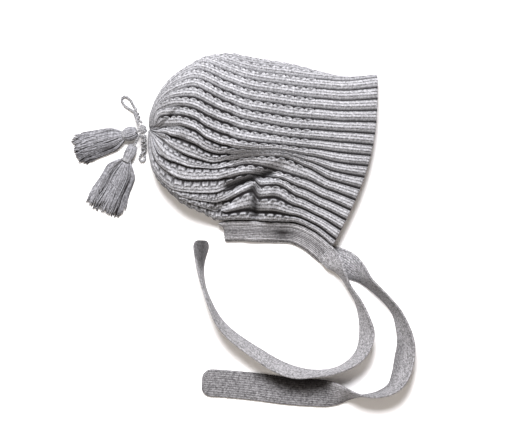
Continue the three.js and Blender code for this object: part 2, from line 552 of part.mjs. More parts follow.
// A round rod along a curve.
function rod(points, diameter, sides, steps) {
  const section = new THREE.Shape();
  for (let i = 0; i < sides; i++) {
    const angle = (2 * Math.PI * i) / sides;
    const [x, y] = [(Math.cos(angle) * diameter) / 2, (Math.sin(angle) * diameter) / 2];
    if (i === 0) section.moveTo(x, y);
    else section.lineTo(x, y);
  }
  section.closePath();
  const extrudePath = new THREE.CatmullRomCurve3(points, false, "centripetal");
  return new THREE.ExtrudeGeometry(section, { steps, bevelEnabled: false, extrudePath });
}

// The knot sits on the drawn-in end of the crown, with a turn of the cord round it.
const knotCentre = gatherEnd.clone().setX(gatherEnd.x - KNOT_DIAMETER / 2 - SEAM_GAP);
const WRAP_RADIUS = KNOT_DIAMETER / 2 - CORD_DIAMETER * WRAP_SINK;
const WRAP_LEAN = 24; // degrees
const KNOT_REACH = WRAP_RADIUS + CORD_DIAMETER / 2 + SEAM_GAP;

function makeKnot() {
  const wrap = new THREE.TorusGeometry(WRAP_RADIUS, CORD_DIAMETER / 2, 6, 14)
    .rotateY(90 * RADIANS)
    .rotateZ(WRAP_LEAN * RADIANS)
    .translate(knotCentre.x, knotCentre.y, knotCentre.z);
  const radius = KNOT_DIAMETER / 2;
  const lump = new THREE.SphereGeometry(radius, 12, 8).translate(knotCentre.x, knotCentre.y, knotCentre.z);
  return fuse([lump, wrap]);
}

function makeLoop(points) {
  const route = points.map(([x, y, z]) => knotCentre.clone().add(new THREE.Vector3(x, y, z)));
  return rod(route, CORD_DIAMETER, CORD_SIDES, LOOP_STEPS);
}

// One lock of yarn: a flattened, tapering bundle. It leaves the neck, swings out sideways by "aside" and
// droops to the surface below.
function lock(neck, way, length, aside) {
  const mesh = meshBuilder();
  const forward = new THREE.Vector3(Math.cos(way), Math.sin(way), 0);
  const sideways = new THREE.Vector3(-forward.y, forward.x, 0);
  const rows = shares(5).map((share) => {
    const bell = smoothStep(-0.1, LOCK.swell, share) + LOCK.flare * share;
    const plump = LOCK.neck + LOCK.swell * Math.sin(Math.PI * Math.min(1, share + 0.1));
    const half = (LOCK_WIDTH / 2) * plump;
    const height = mix(TASSEL_HEAD * LOCK.neckHeight, LOCK_WIDTH * LOCK.halfHeight, smoothStep(0, LOCK.settled, share)) * plump;
    const middle = neck.clone().addScaledVector(forward, length * share).addScaledVector(sideways, aside * bell);
    middle.z = mix(neck.z, height, smoothStep(0, LOCK.landed, share));
    return shares(6).slice(0, -1).map((turn) => {
      const around = 2 * Math.PI * turn;
      const point = middle.clone().addScaledVector(sideways, half * Math.cos(around));
      point.z += height * Math.sin(around);
      return mesh.vertex(point);
    });
  });
  for (let j = 0; j + 1 < rows.length; j++) {
    rows[j].forEach((vertex, i) => {
      const next = (i + 1) % rows[j].length;
      mesh.quad(vertex, rows[j][next], rows[j + 1][next], rows[j + 1][i]);
    });
  }
  for (let i = 1; i + 1 < rows[0].length; i++) {
    mesh.triangle(rows[0][0], rows[0][i + 1], rows[0][i]);
    mesh.triangle(rows.at(-1)[0], rows.at(-1)[i], rows.at(-1)[i + 1]);
  }
  return mesh.geometry();
}

function makeTassel(tassel) {
  const radius = TASSEL_HEAD / 2;
  const head = knotCentre.clone().setZ(radius);
  head.x += tassel.headX * TASSEL_LENGTH;
  head.y += tassel.headY * TASSEL_LENGTH;
  const toHead = head.clone().sub(knotCentre).normalize();
  const tailStart = knotCentre.clone().addScaledVector(toHead, KNOT_REACH);
  const tail = rod([tailStart, head.clone().addScaledVector(toHead, -radius * TAIL_SEAT)], CORD_DIAMETER, CORD_SIDES, 4);
  const way = tassel.heading * RADIANS;
  const forward = new THREE.Vector3(Math.cos(way), Math.sin(way), 0);
  const headReach = radius * tassel.long;
  const bobble = new THREE.SphereGeometry(1, 14, 8)
    .scale(headReach, radius * tassel.plump, radius)
    .rotateZ(way)
    .translate(head.x, head.y, head.z);
  const neck = head.clone().addScaledVector(forward, headReach * NECK_SEAT).setZ(radius * NECK_SEAT);
  const skirtLength = TASSEL_LENGTH * tassel.length - headReach * NECK_SEAT;
  const locks = shares(TASSEL_LOCKS - 1).map((share, i) => {
    const length = skirtLength * (1 - 0.06 * (i % 3));
    return lock(neck, way, length, (share - 0.5) * tassel.spread * TASSEL_LENGTH);
  });
  return fuse([bobble, tail, ...locks]);
}

// Finishes and assembly

const yarn = (color, roughness = 0.9) => new THREE.MeshStandardMaterial({ color, roughness, metalness: 0 });
const KNIT = yarn("#b4b5b4");
const BAND_KNIT = yarn("#a9aaaa");
const TIE_KNIT = yarn("#aeb0b0");
const CORD_YARN = yarn("#b9bab9");
const TASSEL_YARN = yarn("#c3c4c3");

const bonnet = new THREE.Group();
bonnet.name = "baby_bonnet";

function place(name, geometry, material) {
  const mesh = new THREE.Mesh(geometry, material.clone());
  mesh.name = name;
  bonnet.add(mesh);
}

// The front end of the band, a seam's gap ahead of its last row, where a tie starts.
function tieStart(side) {
  const edges = bandEdges(0, side);
  const along = edges.inner.clone().sub(bandEdges(0.02, side).inner).setZ(0).normalize();
  return {
    inner: edges.inner.addScaledVector(along, SEAM_GAP),
    outer: edges.outer.addScaledVector(along, SEAM_GAP),
  };
}

place("crown", makeCrown(), KNIT);
place("neckband", makeNeckband(), BAND_KNIT);
place("tie_near", makeTie(TIE_NEAR_ROUTE, TIE_NEAR_LENGTH, tieStart(1)), TIE_KNIT);
place("tie_far", makeTie(TIE_FAR_ROUTE, TIE_FAR_LENGTH, tieStart(-1)), TIE_KNIT);
place("bow_knot", makeKnot(), CORD_YARN);
place("bow_loop_upper", makeLoop(LOOP_UPPER), CORD_YARN);
place("bow_loop_lower", makeLoop(LOOP_LOWER), CORD_YARN);
TASSELS.forEach((tassel) => place(tassel.name, makeTassel(tassel), TASSEL_YARN));

// The origin is the middle of the whole bonnet's footprint, on the surface that it lies on.
const box = new THREE.Box3().setFromObject(bonnet);
const middle = box.getCenter(new THREE.Vector3());
bonnet.position.set(-middle.x, -middle.y, -box.min.z);
bonnet.updateMatrixWorld(true);

export default bonnet;
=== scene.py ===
# %% [markdown]
# # A knitted baby bonnet, seen from above
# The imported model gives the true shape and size. This script dresses it in knitting: every piece is made
# in metres, in the model's own frame, so it goes where the model says with no fitting.

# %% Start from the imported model
import math

import bmesh
import bpy
import numpy as np
from mathutils import Matrix, Vector


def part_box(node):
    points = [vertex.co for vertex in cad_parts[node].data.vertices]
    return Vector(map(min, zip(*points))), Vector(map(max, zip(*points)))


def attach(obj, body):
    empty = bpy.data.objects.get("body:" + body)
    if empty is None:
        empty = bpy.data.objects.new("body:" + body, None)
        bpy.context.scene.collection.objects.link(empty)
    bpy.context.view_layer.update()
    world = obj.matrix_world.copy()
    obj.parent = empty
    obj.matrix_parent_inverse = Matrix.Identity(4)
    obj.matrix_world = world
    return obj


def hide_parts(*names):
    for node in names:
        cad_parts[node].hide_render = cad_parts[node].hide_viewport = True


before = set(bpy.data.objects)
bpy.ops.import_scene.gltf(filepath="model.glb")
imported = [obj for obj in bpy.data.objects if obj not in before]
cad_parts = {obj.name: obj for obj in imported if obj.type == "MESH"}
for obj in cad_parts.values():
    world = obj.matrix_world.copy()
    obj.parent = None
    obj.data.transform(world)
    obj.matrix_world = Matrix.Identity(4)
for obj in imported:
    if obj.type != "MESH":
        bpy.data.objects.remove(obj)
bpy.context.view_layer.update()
MM = 0.001
UP = np.array([0, 0, 1.0])

# %% [markdown]
# The crown is one smooth surface, and knitting needs thousands of stitches along it. So the short table of
# its sections is worked out here again. Each row is a section between the face edge and the gather, in
# thousandths of three real sizes.

# %% Sizes of the crown
CROWN_DEPTH = 212 * MM
FACE_EDGE = 170 * MM
LOFT = 56 * MM
RIBS_NEAR = 15.6
RIBS_FAR = 16.4
FIRST_NEAR_RIB = -2.0  # the ribs below it are the mirror of the ones above
WALL = 4.6 * MM
NAPE_AT = 0.561
LAST_OPEN_AT = 0.52
KNIT_LENGTH = 230 * MM  # along the knitting from the face edge to the gather

SECTION_NAMES = "at topX topY lowX lowY bow crest fold bed lip square drop".split()
SECTIONS = np.array([
    (0, 1000, 298, 802, -633, 61, 400, 180, 0, 310, 3400, 0),
    (107, 874, 287, 715, -547, 40, 490, 200, 0, 310, 3200, 50),
    (213, 745, 314, 622, -503, 26, 600, 240, 0, 310, 3000, 200),
    (328, 615, 352, 520, -500, 18, 740, 290, 0, 310, 2800, 400),
    (451, 485, 379, 400, -492, 12, 870, 340, 0, 310, 2600, 520),
    (520, 411, 395, 335, -495, 8, 940, 370, 0, 310, 2500, 500),
    (561, 363, 405, 304, -495, 8, 970, 390, 0, 200, 2500, 440),
    (648, 267, 395, 237, -457, 12, 1000, 410, 0, 280, 2400, 340),
    (730, 183, 346, 154, -409, 35, 1000, 430, 0, 340, 2300, 220),
    (801, 113, 290, 85, -335, 48, 950, 430, 0, 360, 2200, 120),
    (871, 54, 208, 37, -268, 60, 840, 410, 20, 360, 2100, 50),
    (930, 17, 119, 9, -189, 54, 680, 370, 70, 350, 2000, 0),
    (975, 3, 60, -2, -97, 36, 500, 330, 150, 320, 2000, 0),
    (1000, 2, 22, -2, -27, 6, 380, 300, 220, 300, 2000, 0),
]) / 1000
GROOVE_NAMES = "at turn g3 g6 g8 g10 g11 g13".split()
GROOVES = np.array([
    (0, -100, 203, 407, 529, 663, 730, 849),
    (107, -200, 219, 425, 558, 677, 738, 857),
    (213, -450, 245, 450, 563, 639, 712, 837),
    (328, -600, 262, 460, 554, 592, 678, 770),
    (451, -700, 262, 452, 568, 609, 655, 809),
    (561, -800, 236, 426, 563, 654, 696, 845),
    (648, -500, 178, 394, 546, 688, 730, 889),
    (730, -200, 102, 323, 484, 683, 754, 927),
    (801, 0, 78, 271, 456, 688, 780, 980),
    (871, 0, 40, 187, 420, 670, 807, 985),
    (930, 0, 25, 100, 350, 614, 820, 985),
    (1000, 0, 70, 260, 450, 660, 800, 960),
]) / 1000
FOLDS = np.array([  # at, across, long, wide, lift
    (440, 535, 160, 50, 70),
    (470, 670, 90, 45, -90),
    (390, 840, 60, 70, 90),
    (350, 960, 60, 35, -70),
    (570, 930, 50, 50, -70),
    (920, 400, 50, 70, -100),
    (700, 300, 120, 160, 30),
]) / 1000
CREASES = [  # at, across, to at, to across, half width and lift in mm
    (0.53, 0.8, 0.36, 0.7, 4, -11),
    (0.56, 0.715, 0.34, 0.62, 6.5, 6),
    (0.415, 0.8, 0.39, 0.97, 5, -9),
    (0.355, 0.79, 0.325, 0.97, 6, 6),
    (0.98, 0.33, 0.8, 0.3, 4, -5),
    (0.98, 0.56, 0.78, 0.56, 4, -4),
    (0.97, 0.76, 0.8, 0.82, 4, -4),
    (0.6, 0.96, 0.5, 0.89, 4, -5),
]
CREASE_SPAN = (230 * MM, 150 * MM)  # real lengths of one unit of "at" and of "across"
# creases sunk deeper than this get a painted shade
DEEP_CREASE = -8  # in mm; the cloth turns in under itself at those

# %% [markdown]
# Curves join the rows. They pass through each value and never overshoot, so there are no stray bumps.

# %% Curves through the rows
def curve_through(keys, values):
    keys, values = np.asarray(keys, float), np.asarray(values, float)
    slopes = np.diff(values) / np.diff(keys)
    before = np.r_[slopes[0], slopes]
    after = np.r_[slopes, slopes[-1]]
    product = before * after
    total = np.where(before + after == 0, 1, before + after)
    tangents = np.where(product > 0, 2 * product / total, 0)

    def at(key):
        i = np.clip(np.searchsorted(keys, key, side="right") - 1, 0, len(keys) - 2)
        step = keys[i + 1] - keys[i]
        t = np.clip((key - keys[i]) / step, 0, 1)
        bend = tangents[i] * step * t * (1 - t) ** 2 - tangents[i + 1] * step * t * t * (1 - t)
        return values[i] + (values[i + 1] - values[i]) * t * t * (3 - 2 * t) + bend

    return at


def column_curves(names, rows):
    return {name: curve_through(rows[:, 0], column) for name, column in zip(names[1:], rows.T[1:])}


def mix(a, b, t):
    return a + (b - a) * t


def smooth_step(start, end, x):
    t = np.clip((x - start) / (end - start), 0, 1)
    return t * t * (3 - 2 * t)


SECTION = column_curves(SECTION_NAMES, SECTIONS)
GROOVE = column_curves(GROOVE_NAMES, GROOVES)

# %% [markdown]
# A row of the crown is worked out at once: where each rib crosses it and how high the cloth stands there.
# "inset" is how deep under the outer surface a point lies.

# %% One row of the crown's surface
def arch(across, square):
    return (1 - np.abs(2 * across - 1) ** square) ** (1 / square)


def joined(at):
    """How far the two neck edges have come together, from 0 in front of the nape to 1 behind it."""
    return smooth_step(LAST_OPEN_AT, NAPE_AT, at)


def far_height(at, across, inset):
    lip = mix(inset, SECTION["lip"](at) * LOFT, joined(at))
    base = mix(SECTION["fold"](at) * LOFT, lip, across)
    flat = np.minimum(1, arch(across, mix(5, 2.6, smooth_step(0.3, 0.9, at))) * 1.012)
    return base - (base - SECTION["bed"](at) * LOFT - inset) * flat


def from_crease(at, across, crease):
    """How far a place on the upper side lies from a crease's line, as a share of the crease's width."""
    run = np.subtract(crease[2:4], crease[:2]) * CREASE_SPAN
    off_at = (at - crease[0]) * CREASE_SPAN[0]
    off_across = (across - crease[1]) * CREASE_SPAN[1]
    share = np.clip((run[0] * off_at + run[1] * off_across) / (run @ run), 0, 1)
    return np.hypot(off_at - run[0] * share, off_across - run[1] * share) / (crease[4] * MM)


def crease_height(at, across):
    """Sharper dents and rolls, each along a line from one place on the upper side to another."""
    lifts = [crease[-1] * MM * np.exp(-(from_crease(at, across, crease) ** 2)) for crease in CREASES]
    return np.sum(lifts, axis=0)


def crease_shade(at, ribs):
    """How dark a painted shade a row gets where the cloth turns in under itself."""
    near, across = across_ribs(at, ribs)
    sunk = [crease for crease in CREASES if crease[-1] < DEEP_CREASE]
    shades = [np.exp(-((from_crease(at, across, crease) / 0.75) ** 2)) for crease in sunk]
    return np.where(near, np.max(shades, axis=0), 0)


def near_height(at, across, inset):
    lip = SECTION["lip"](at) * LOFT - inset * (1 - joined(at))
    base = mix(SECTION["fold"](at) * LOFT, lip, across)
    loss = SECTION["drop"](at) * smooth_step(GROOVE["g8"](at) - 0.03, GROOVE["g11"](at), across)
    crest = SECTION["crest"](at) * LOFT - inset
    height = base + (crest - base) * arch(across, SECTION["square"](at)) * (1 - loss)
    for fold_at, fold_across, long, wide, lift in FOLDS:
        height += lift * LOFT * np.exp(-(((at - fold_at) / long) ** 2) - ((across - fold_across) / wide) ** 2)
    return height + crease_height(at, across)


# %% [markdown]
# Over the top of the head the cloth stands almost upright, so its ribs look crowded from above. There they
# are spaced by the real length of the cloth, up one side of the fold and down the other.

# %% Where the ribs run
def path_lengths(across, heights, width):
    return np.r_[0, np.cumsum(np.hypot(np.diff(across) * width, np.diff(heights)))]


def row_ends(at):
    top = np.array([SECTION["topX"](at) * CROWN_DEPTH, SECTION["topY"](at) * FACE_EDGE])
    low = np.array([SECTION["lowX"](at) * CROWN_DEPTH, SECTION["lowY"](at) * FACE_EDGE])
    return top, low, np.hypot(*(top - low))


def near_curve(at):
    keys = [GROOVE["turn"](at), 3, 6, 8, 10, 11, 13, RIBS_NEAR]
    return curve_through(keys, [0, *(GROOVE[name](at) for name in GROOVE_NAMES[2:]), 1])


FROM_END = (1 - np.cos(np.pi * np.linspace(0, 1, 161))) / 2


def wall_lengths(at, last_rib):
    """The cloth's length from the fold to a rib, with the places across that it was measured at."""
    across = near_curve(at)(float(last_rib)) * FROM_END
    return across, path_lengths(across, near_height(at, across, 0), row_ends(at)[2])


def rib_on_fold(at):
    to_third = wall_lengths(at, 3)[1][-1]
    rib_width = (wall_lengths(at, 6)[1][-1] - to_third) / 3
    return float(np.clip(3 - to_third / rib_width, -2.6, 0.4))


FOLD_RIB = curve_through(SECTIONS[:, 0], [rib_on_fold(at) for at in SECTIONS[:, 0]])


# the ribs near the neck are drawn up into the crease beside the second roll
TUCK_AT, TUCK_BEHIND, TUCK_AHEAD, TUCK_FROM, TUCK_MOST, TUCK_SHIFT = 0.425, 0.085, 0.022, 0.68, 0.85, 0.065


def across_ribs(at, ribs):
    """Which side of the crown each rib is on, and how far across it lies there."""
    fold_rib = FOLD_RIB(at)
    near = ribs >= fold_rib
    wall, lengths = wall_lengths(at, 3)
    on_wall = np.interp((ribs - fold_rib) / (3 - fold_rib) * lengths[-1], lengths, wall)
    upper = np.where(ribs > 3, near_curve(at)(ribs), on_wall)
    reach = TUCK_BEHIND if at > TUCK_AT else TUCK_AHEAD
    share = smooth_step(TUCK_FROM, TUCK_MOST, upper) * (1 - smooth_step(TUCK_MOST, 1.0, upper))
    upper = upper - TUCK_SHIFT * math.exp(-(((at - TUCK_AT) / reach) ** 2)) * share
    lengths = path_lengths(FROM_END, far_height(at, FROM_END, 0), row_ends(at)[2])
    under = np.interp((fold_rib - ribs) / (fold_rib + RIBS_FAR) * lengths[-1], lengths, FROM_END)
    return near, np.where(near, upper, under)


def crown_row(at, ribs, inset):
    """The points of one row, in the model's own frame before it is centred."""
    top, low, width = row_ends(at)
    near, across = across_ribs(at, ribs)
    inward = (low - top) / width
    starts = top + inward * inset[:, None]
    ends = low - joined(at) * inward * inset[:, None]
    place = starts + (ends - starts) * across[:, None]
    place[:, 0] += SECTION["bow"](at) * CROWN_DEPTH * np.sin(np.pi * across)
    return np.c_[place, np.where(near, near_height(at, across, inset), far_height(at, across, inset))]


def crown_surface(stations, ribs, inset):
    """A grid of points, one row for each station, inset by a grid or a number."""
    insets = np.broadcast_to(inset, (len(stations), len(ribs)))
    return np.array([crown_row(at, ribs, row) for at, row in zip(stations, insets)])


# %% [markdown]
# The model is centred after it is built. The crown's box says by how much, so the surface is moved to it.

# %% Find the model's place
crown_low, crown_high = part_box("crown")
probe = crown_surface(np.linspace(0, 1, 90), np.linspace(-RIBS_FAR, RIBS_NEAR, 321), 0.0)
SHIFT = np.array([crown_low[0] - probe[..., 0].min(), crown_high[1] - probe[..., 1].max(), 0])
print("shift in mm", np.round(SHIFT * 1000, 2))

# %% [markdown]
# Knitting is a grid: wales run from the face edge to the gather, courses run across them. So a bmesh grid
# is moved onto the surface. Its UV map counts wales and courses, and an attribute keeps its painted shade.

# %% Sheets made from a grid
WALES_PER_RIB = 4
COURSE = 2.1 * MM  # length of one stitch along the knitting


def add_object(bm, name):
    """A new object with the mesh that was worked out in bmesh."""
    mesh = bpy.data.meshes.new(name)
    bm.to_mesh(mesh)
    bm.free()
    piece = bpy.data.objects.new(name, mesh)
    bpy.context.collection.objects.link(piece)
    return piece


def grid_sheet(name, points, across_uv, along_uv, dark):
    """A mesh grid on points, with a painted shade for each. The first index runs along the knitting."""
    rows, columns = points.shape[:2]
    bm = bmesh.new()
    bm.loops.layers.uv.new("stitches")
    bmesh.ops.create_grid(bm, x_segments=columns - 1, y_segments=rows - 1, size=0.5, calc_uvs=True)
    piece = add_object(bm, name)
    mesh = piece.data
    flat = np.empty(len(mesh.vertices) * 3)
    mesh.vertices.foreach_get("co", flat)
    flat = flat.reshape(-1, 3)
    i, j, _ = np.rint((flat.T + 0.5) * [[columns - 1], [rows - 1], [0]]).astype(int)
    mesh.vertices.foreach_set("co", points[j, i].astype(np.float32).ravel())
    corner = np.empty(len(mesh.loops), dtype=int)
    mesh.loops.foreach_get("vertex_index", corner)
    uv = np.c_[across_uv[i[corner]], along_uv[j[corner]]]
    mesh.uv_layers["stitches"].data.foreach_set("uv", uv.astype(np.float32).ravel())
    shade = mesh.attributes.new("deep", "FLOAT", "POINT")
    shade.data.foreach_set("value", dark[j, i].astype(np.float32))
    print(name, len(mesh.polygons), "faces")
    return piece


def mend(piece, work):
    """Joins points that coincide, does some work on the mesh, and smooths it."""
    bm = bmesh.new()
    bm.from_mesh(piece.data)
    bmesh.ops.remove_doubles(bm, verts=bm.verts, dist=0.02 * MM)
    work(bm)
    for face in bm.faces:
        face.smooth = True
    bm.to_mesh(piece.data)
    bm.free()


def dress(piece, material):
    piece.data.materials.append(material)
    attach(piece, "root")


# %% [markdown]
# The photograph looks straight down from so far away that nothing leans, so a long lens is placed high up.

# %% Camera, light and surface
PHOTO_WIDTH = 484 * MM  # the width of the photograph on the surface
LENS = 135
SENSOR = 36
VIEW_MIDDLE = Vector((19.8 * MM, 15 * MM, 0))


def hex_color(text):
    """A linear colour from an sRGB hex code."""
    channels = [int(text[i : i + 2], 16) / 255 for i in (1, 3, 5)]
    linear = [c / 12.92 if c <= 0.04045 else ((c + 0.055) / 1.055) ** 2.4 for c in channels]
    return (*linear, 1)


lens = bpy.data.cameras.new("camera")
lens.lens = LENS
lens.sensor_width = SENSOR
camera = bpy.data.objects.new("camera", lens)
camera.location = VIEW_MIDDLE + Vector((0, 0, PHOTO_WIDTH * LENS / SENSOR + 20 * MM))
bpy.context.collection.objects.link(camera)
bpy.context.scene.camera = camera

for name, place, size, watts, color in (
    ("window", (-0.1, 0.88, 1.42), 0.6, 60, "#FBFBFF"),
    ("room", (-0.5, -0.9, 1.6), 1.6, 11, "#FFF8F0"),
):
    light = bpy.data.lights.new(name, "AREA")
    light.shape = "SQUARE"
    light.size = size
    light.energy = watts
    light.color = hex_color(color)[:3]
    lamp = bpy.data.objects.new(name, light)
    lamp.location = place
    lamp.rotation_euler = (-lamp.location).to_track_quat("-Z", "Y").to_euler()  # it points at the middle
    bpy.context.collection.objects.link(lamp)

# %% [markdown]
# Wool is spun from short, crimped fibres, so it scatters light softly and never shines. Heather wool blends
# paler and darker fibres. One function builds this finish: flecks from noise, stitches or plies from the UV
# map, painted shade in the stitches' valleys, and painted shade kept with the surface where the knitting is
# deep or open, in creases and where other parts shade it.

# %% Finishes
def add(tree, kind, inputs=(), operation=None, **settings):
    """Adds a node with its settings, and links or sets its inputs. A node as input means its first output."""
    node = tree.nodes.new("ShaderNode" + kind)
    if operation:
        node.operation = operation
    for key, value in settings.items():
        setattr(node, key, value)
    for key, value in inputs.items() if isinstance(inputs, dict) else enumerate(inputs):
        if isinstance(value, bpy.types.Node):
            value = value.outputs[0]
        if isinstance(value, bpy.types.NodeSocket):
            tree.links.new(value, node.inputs[key])
        else:
            node.inputs[key].default_value = value
    return node


def new_material(name):
    material = bpy.data.materials.new(name)
    material.use_nodes = True
    tree = material.node_tree
    tree.nodes.clear()
    return material, tree


def wave_of(tree, value, sharpness):
    """A wave from 0 to 1 with its top at whole numbers of "value"."""
    turned = add(tree, "Math", [value, 2 * math.pi], "MULTIPLY")
    cosine = add(tree, "Math", [turned], "COSINE")
    half = add(tree, "Math", [cosine, 0.5, 0.5], "MULTIPLY_ADD")
    return add(tree, "Math", [half, sharpness], "POWER")


def stitch_height(tree, u, v):
    """Wales with a groove at each whole u, crossed by stitches whose two legs lean towards the middle."""
    inside = add(tree, "Math", [u], "FRACT")
    centred = add(tree, "Math", [inside, 2.0, -1.0], "MULTIPLY_ADD")
    from_middle = add(tree, "Math", [centred], "ABSOLUTE")
    leaning = add(tree, "Math", [from_middle, 0.6, v], "MULTIPLY_ADD")
    groove = wave_of(tree, u, 2.2)
    along = add(tree, "CombineXYZ", [u, v])
    uneven = add(tree, "TexNoise", {"Vector": along, "Scale": 0.9, "Roughness": 0.6})
    broken = add(tree, "MapRange", [uneven, 0.35, 0.6, 0.35, 1.0])
    dent = add(tree, "Math", [groove, broken], "MULTIPLY")
    wale = add(tree, "Math", [dent, -0.95, 1.0], "MULTIPLY_ADD")
    stitches = wave_of(tree, leaning, 0.8)
    part = add(tree, "Math", [stitches, 0.16, 0.84], "MULTIPLY_ADD")
    return add(tree, "Math", [wale, part], "MULTIPLY")


def ply_height(tree, u, v):
    """The slanting grooves between the plies of a yarn: u is once round, v counts turns along it."""
    slant = add(tree, "Math", [u, 2.0, v], "MULTIPLY_ADD")
    return wave_of(tree, slant, 0.5)


def fibre_height(tree, u, v):
    """Loose fibres along a strand: long, uneven streaks."""
    place = add(tree, "CombineXYZ", [u, v])
    stretched = add(tree, "VectorMath", [place, (5.0, 0.6, 1.0)], "MULTIPLY")
    return add(tree, "TexNoise", {"Vector": stretched, "Scale": 1.0})


# painted shade: the colour the knitting is darkened towards where shade falls in it
PAINTED_SHADE_WOOL = hex_color("#151112")  # the shade deep in the knitting


def wool(name, color, pattern, depth_mm, shade_between=0.8, heather=0.38):
    """Heather wool with painted shade in its stitches' valleys and from its attribute. "heather" is how far
    its dark and pale fibres stand from its own colour.
    """
    material, tree = new_material(name)
    uv = add(tree, "UVMap", uv_map="stitches")
    parts = add(tree, "SeparateXYZ", [uv])
    height = pattern(tree, parts.outputs["X"], parts.outputs["Y"])
    place = add(tree, "TexCoord").outputs["Object"]
    flecks = add(tree, "TexNoise", {"Vector": place, "Scale": 560.0, "Detail": 3.0, "Roughness": 0.7})
    blend = add(tree, "TexNoise", {"Vector": place, "Scale": 26.0, "Detail": 3.0})
    fibres = add(tree, "TexNoise", {"Vector": place, "Scale": 1900.0, "Roughness": 0.7})
    pale = add(tree, "MapRange", [flecks, 0.36, 0.64, 0.0, 1.0])
    base = hex_color(color)
    darker = [c * (1 - heather) for c in base[:3]] + [1]
    paler = [min(1.0, c * (1 + heather)) for c in base[:3]] + [1]
    flecked = add(tree, "Mix", {0: pale, 6: darker, 7: paler}, data_type="RGBA").outputs[2]
    cloud = add(tree, "MapRange", [blend, 0.3, 0.7, 0.90, 1.06])
    toned = add(tree, "VectorMath", {0: flecked, "Scale": cloud}, "SCALE")
    # painted shade in the valleys of the stitch pattern
    valley = add(tree, "Math", [1.0, height], "SUBTRACT")
    between = add(tree, "Math", [valley, shade_between], "MULTIPLY", use_clamp=True)
    stitched = add(tree, "Mix", {0: between, 6: toned, 7: PAINTED_SHADE_WOOL}, data_type="RGBA").outputs[2]
    # painted shade kept with the surface as an attribute
    deep = add(tree, "Attribute", attribute_name="deep").outputs["Fac"]
    shaded = add(tree, "Mix", {0: deep, 6: stitched, 7: PAINTED_SHADE_WOOL}, data_type="RGBA").outputs[2]
    fuzzy = add(tree, "Math", [fibres, 0.35, height], "MULTIPLY_ADD")
    bump = add(tree, "Bump", {"Height": fuzzy, "Distance": depth_mm * MM, "Strength": 0.8})
    soft = {"Roughness": 0.95, "Specular IOR Level": 0.1, "Sheen Weight": 0.06, "Sheen Roughness": 0.6}
    shader = add(tree, "BsdfPrincipled", {"Base Color": shaded, "Normal": bump, **soft})
    add(tree, "OutputMaterial", {"Surface": shader})
    return material


RIB_WOOL = wool("heather wool, ribbed lace knit", "#A6A6A9", stitch_height, 0.8)
BAND_WOOL = wool("heather wool, fine ribbed band", "#ADACAE", stitch_height, 0.8)
TIE_WOOL = wool("heather wool, stocking stitch tie", "#959496", stitch_height, 0.7, 0.4, 0.56)
CORD_WOOL = wool("twisted wool cord", "#9A9A9C", ply_height, 0.3, 0.7)
YARN_WOOL = wool("loose wool yarn", "#96969A", fibre_height, 0.25, 0.35, 0.48)
print("finishes", [m.name for m in bpy.data.materials])

# %% [markdown]
# Each rib has a deep groove of purl stitches beside it. Behind the brim a knitter makes a hole and a small
# arch every few courses, so the groove's edge becomes a line of scallops. This bends the outline of every
# rib, so it is real geometry: a depth below the surface for each point.

# %% Relief of the knitting
GROOVE_DEPTH = 3.9 * MM
GROOVE_HALF = 0.12  # of a rib's width
ARCH_PERIOD = 9.3 * MM
RIB_WIDTH = 10.5 * MM
BRIM_END = 0.222
ARCH_TOP = 0.055  # how near an arch's top comes to the groove, as a share of the rib's width
ARCH_RISE = 0.30
ARCH_FOOT = 0.37
ARCH_HEIGHT = 1 * MM
EYELET = 0.95 * MM  # its radius
EYELET_DEPTH = 2.3 * MM
RIB_BULGE = 0.7 * MM
PLEAT_DEPTH = 4.5 * MM  # of every second groove, where the cord draws the ribs together
KNIT_RELIEF = curve_through([0, 0.8, 0.9, 0.96, 1.0], [1, 1, 0.8, 0.55, 0.2])


def near_whole(value):
    """1 where a value is a whole number and 0 between: the lines between ribs that are counted."""
    turn = value - np.floor(value)
    return np.exp(-((np.minimum(turn, 1 - turn) / 0.2) ** 2))


def knit_relief(stations, ribs):
    """How far under the smooth surface each point lies, and how dark a painted shade it gets there, from 0 to
    1.
    """
    at, rib = np.meshgrid(stations, ribs, indexing="ij")
    across = rib - np.floor(rib)
    across = np.where(rib < FIRST_NEAR_RIB, 1 - across, across)
    relief = KNIT_RELIEF(at)
    from_groove = np.minimum(across, 1 - across)
    groove = np.exp(-((from_groove / GROOVE_HALF) ** 2))
    lace = smooth_step(BRIM_END - 0.004, BRIM_END + 0.008, at) * (1 - smooth_step(0.90, 0.95, at))
    along = (at - BRIM_END) * KNIT_LENGTH / ARCH_PERIOD
    turn = along - np.floor(along)
    edge = ARCH_TOP + ARCH_RISE * (1 - np.sin(np.pi * turn) ** 0.9)
    notch = lace * (1 - smooth_step(edge - 0.05, edge + 0.03, across))
    arch_line = lace * np.exp(-(((across - edge - 0.09) / 0.065) ** 2))
    away = ((turn - 0.5) * ARCH_PERIOD * 0.75) ** 2 + ((across - ARCH_FOOT) * RIB_WIDTH) ** 2
    eyelet = lace * np.exp(-away / EYELET**2)
    pleat = PLEAT_DEPTH * smooth_step(0.74, 0.90, at) * np.cos(np.pi * rib / 2) ** 8
    depth = GROOVE_DEPTH * np.maximum(groove, 0.95 * notch) + pleat
    depth += RIB_BULGE * np.abs(2 * across - 1) ** 3
    depth += EYELET_DEPTH * eyelet - ARCH_HEIGHT * arch_line * (1 - groove)
    # painted shade in the grooves, the notches and the eyelets, weaker towards the gather
    in_groove = np.exp(-((from_groove / (GROOVE_HALF * 1.1)) ** 6))
    dark = np.maximum(in_groove, np.maximum(0.9 * notch, 0.5 * eyelet))
    fade = smooth_step(1.0, 0.9, at)
    return depth * relief, np.clip(dark * (0.35 + 0.65 * fade), 0, 1)


# %% [markdown]
# The crown's outer skin is one grid over both sides of the folded bonnet. At the face edge and at the neck
# it turns over the cloth's thickness, to meet the skin inside.

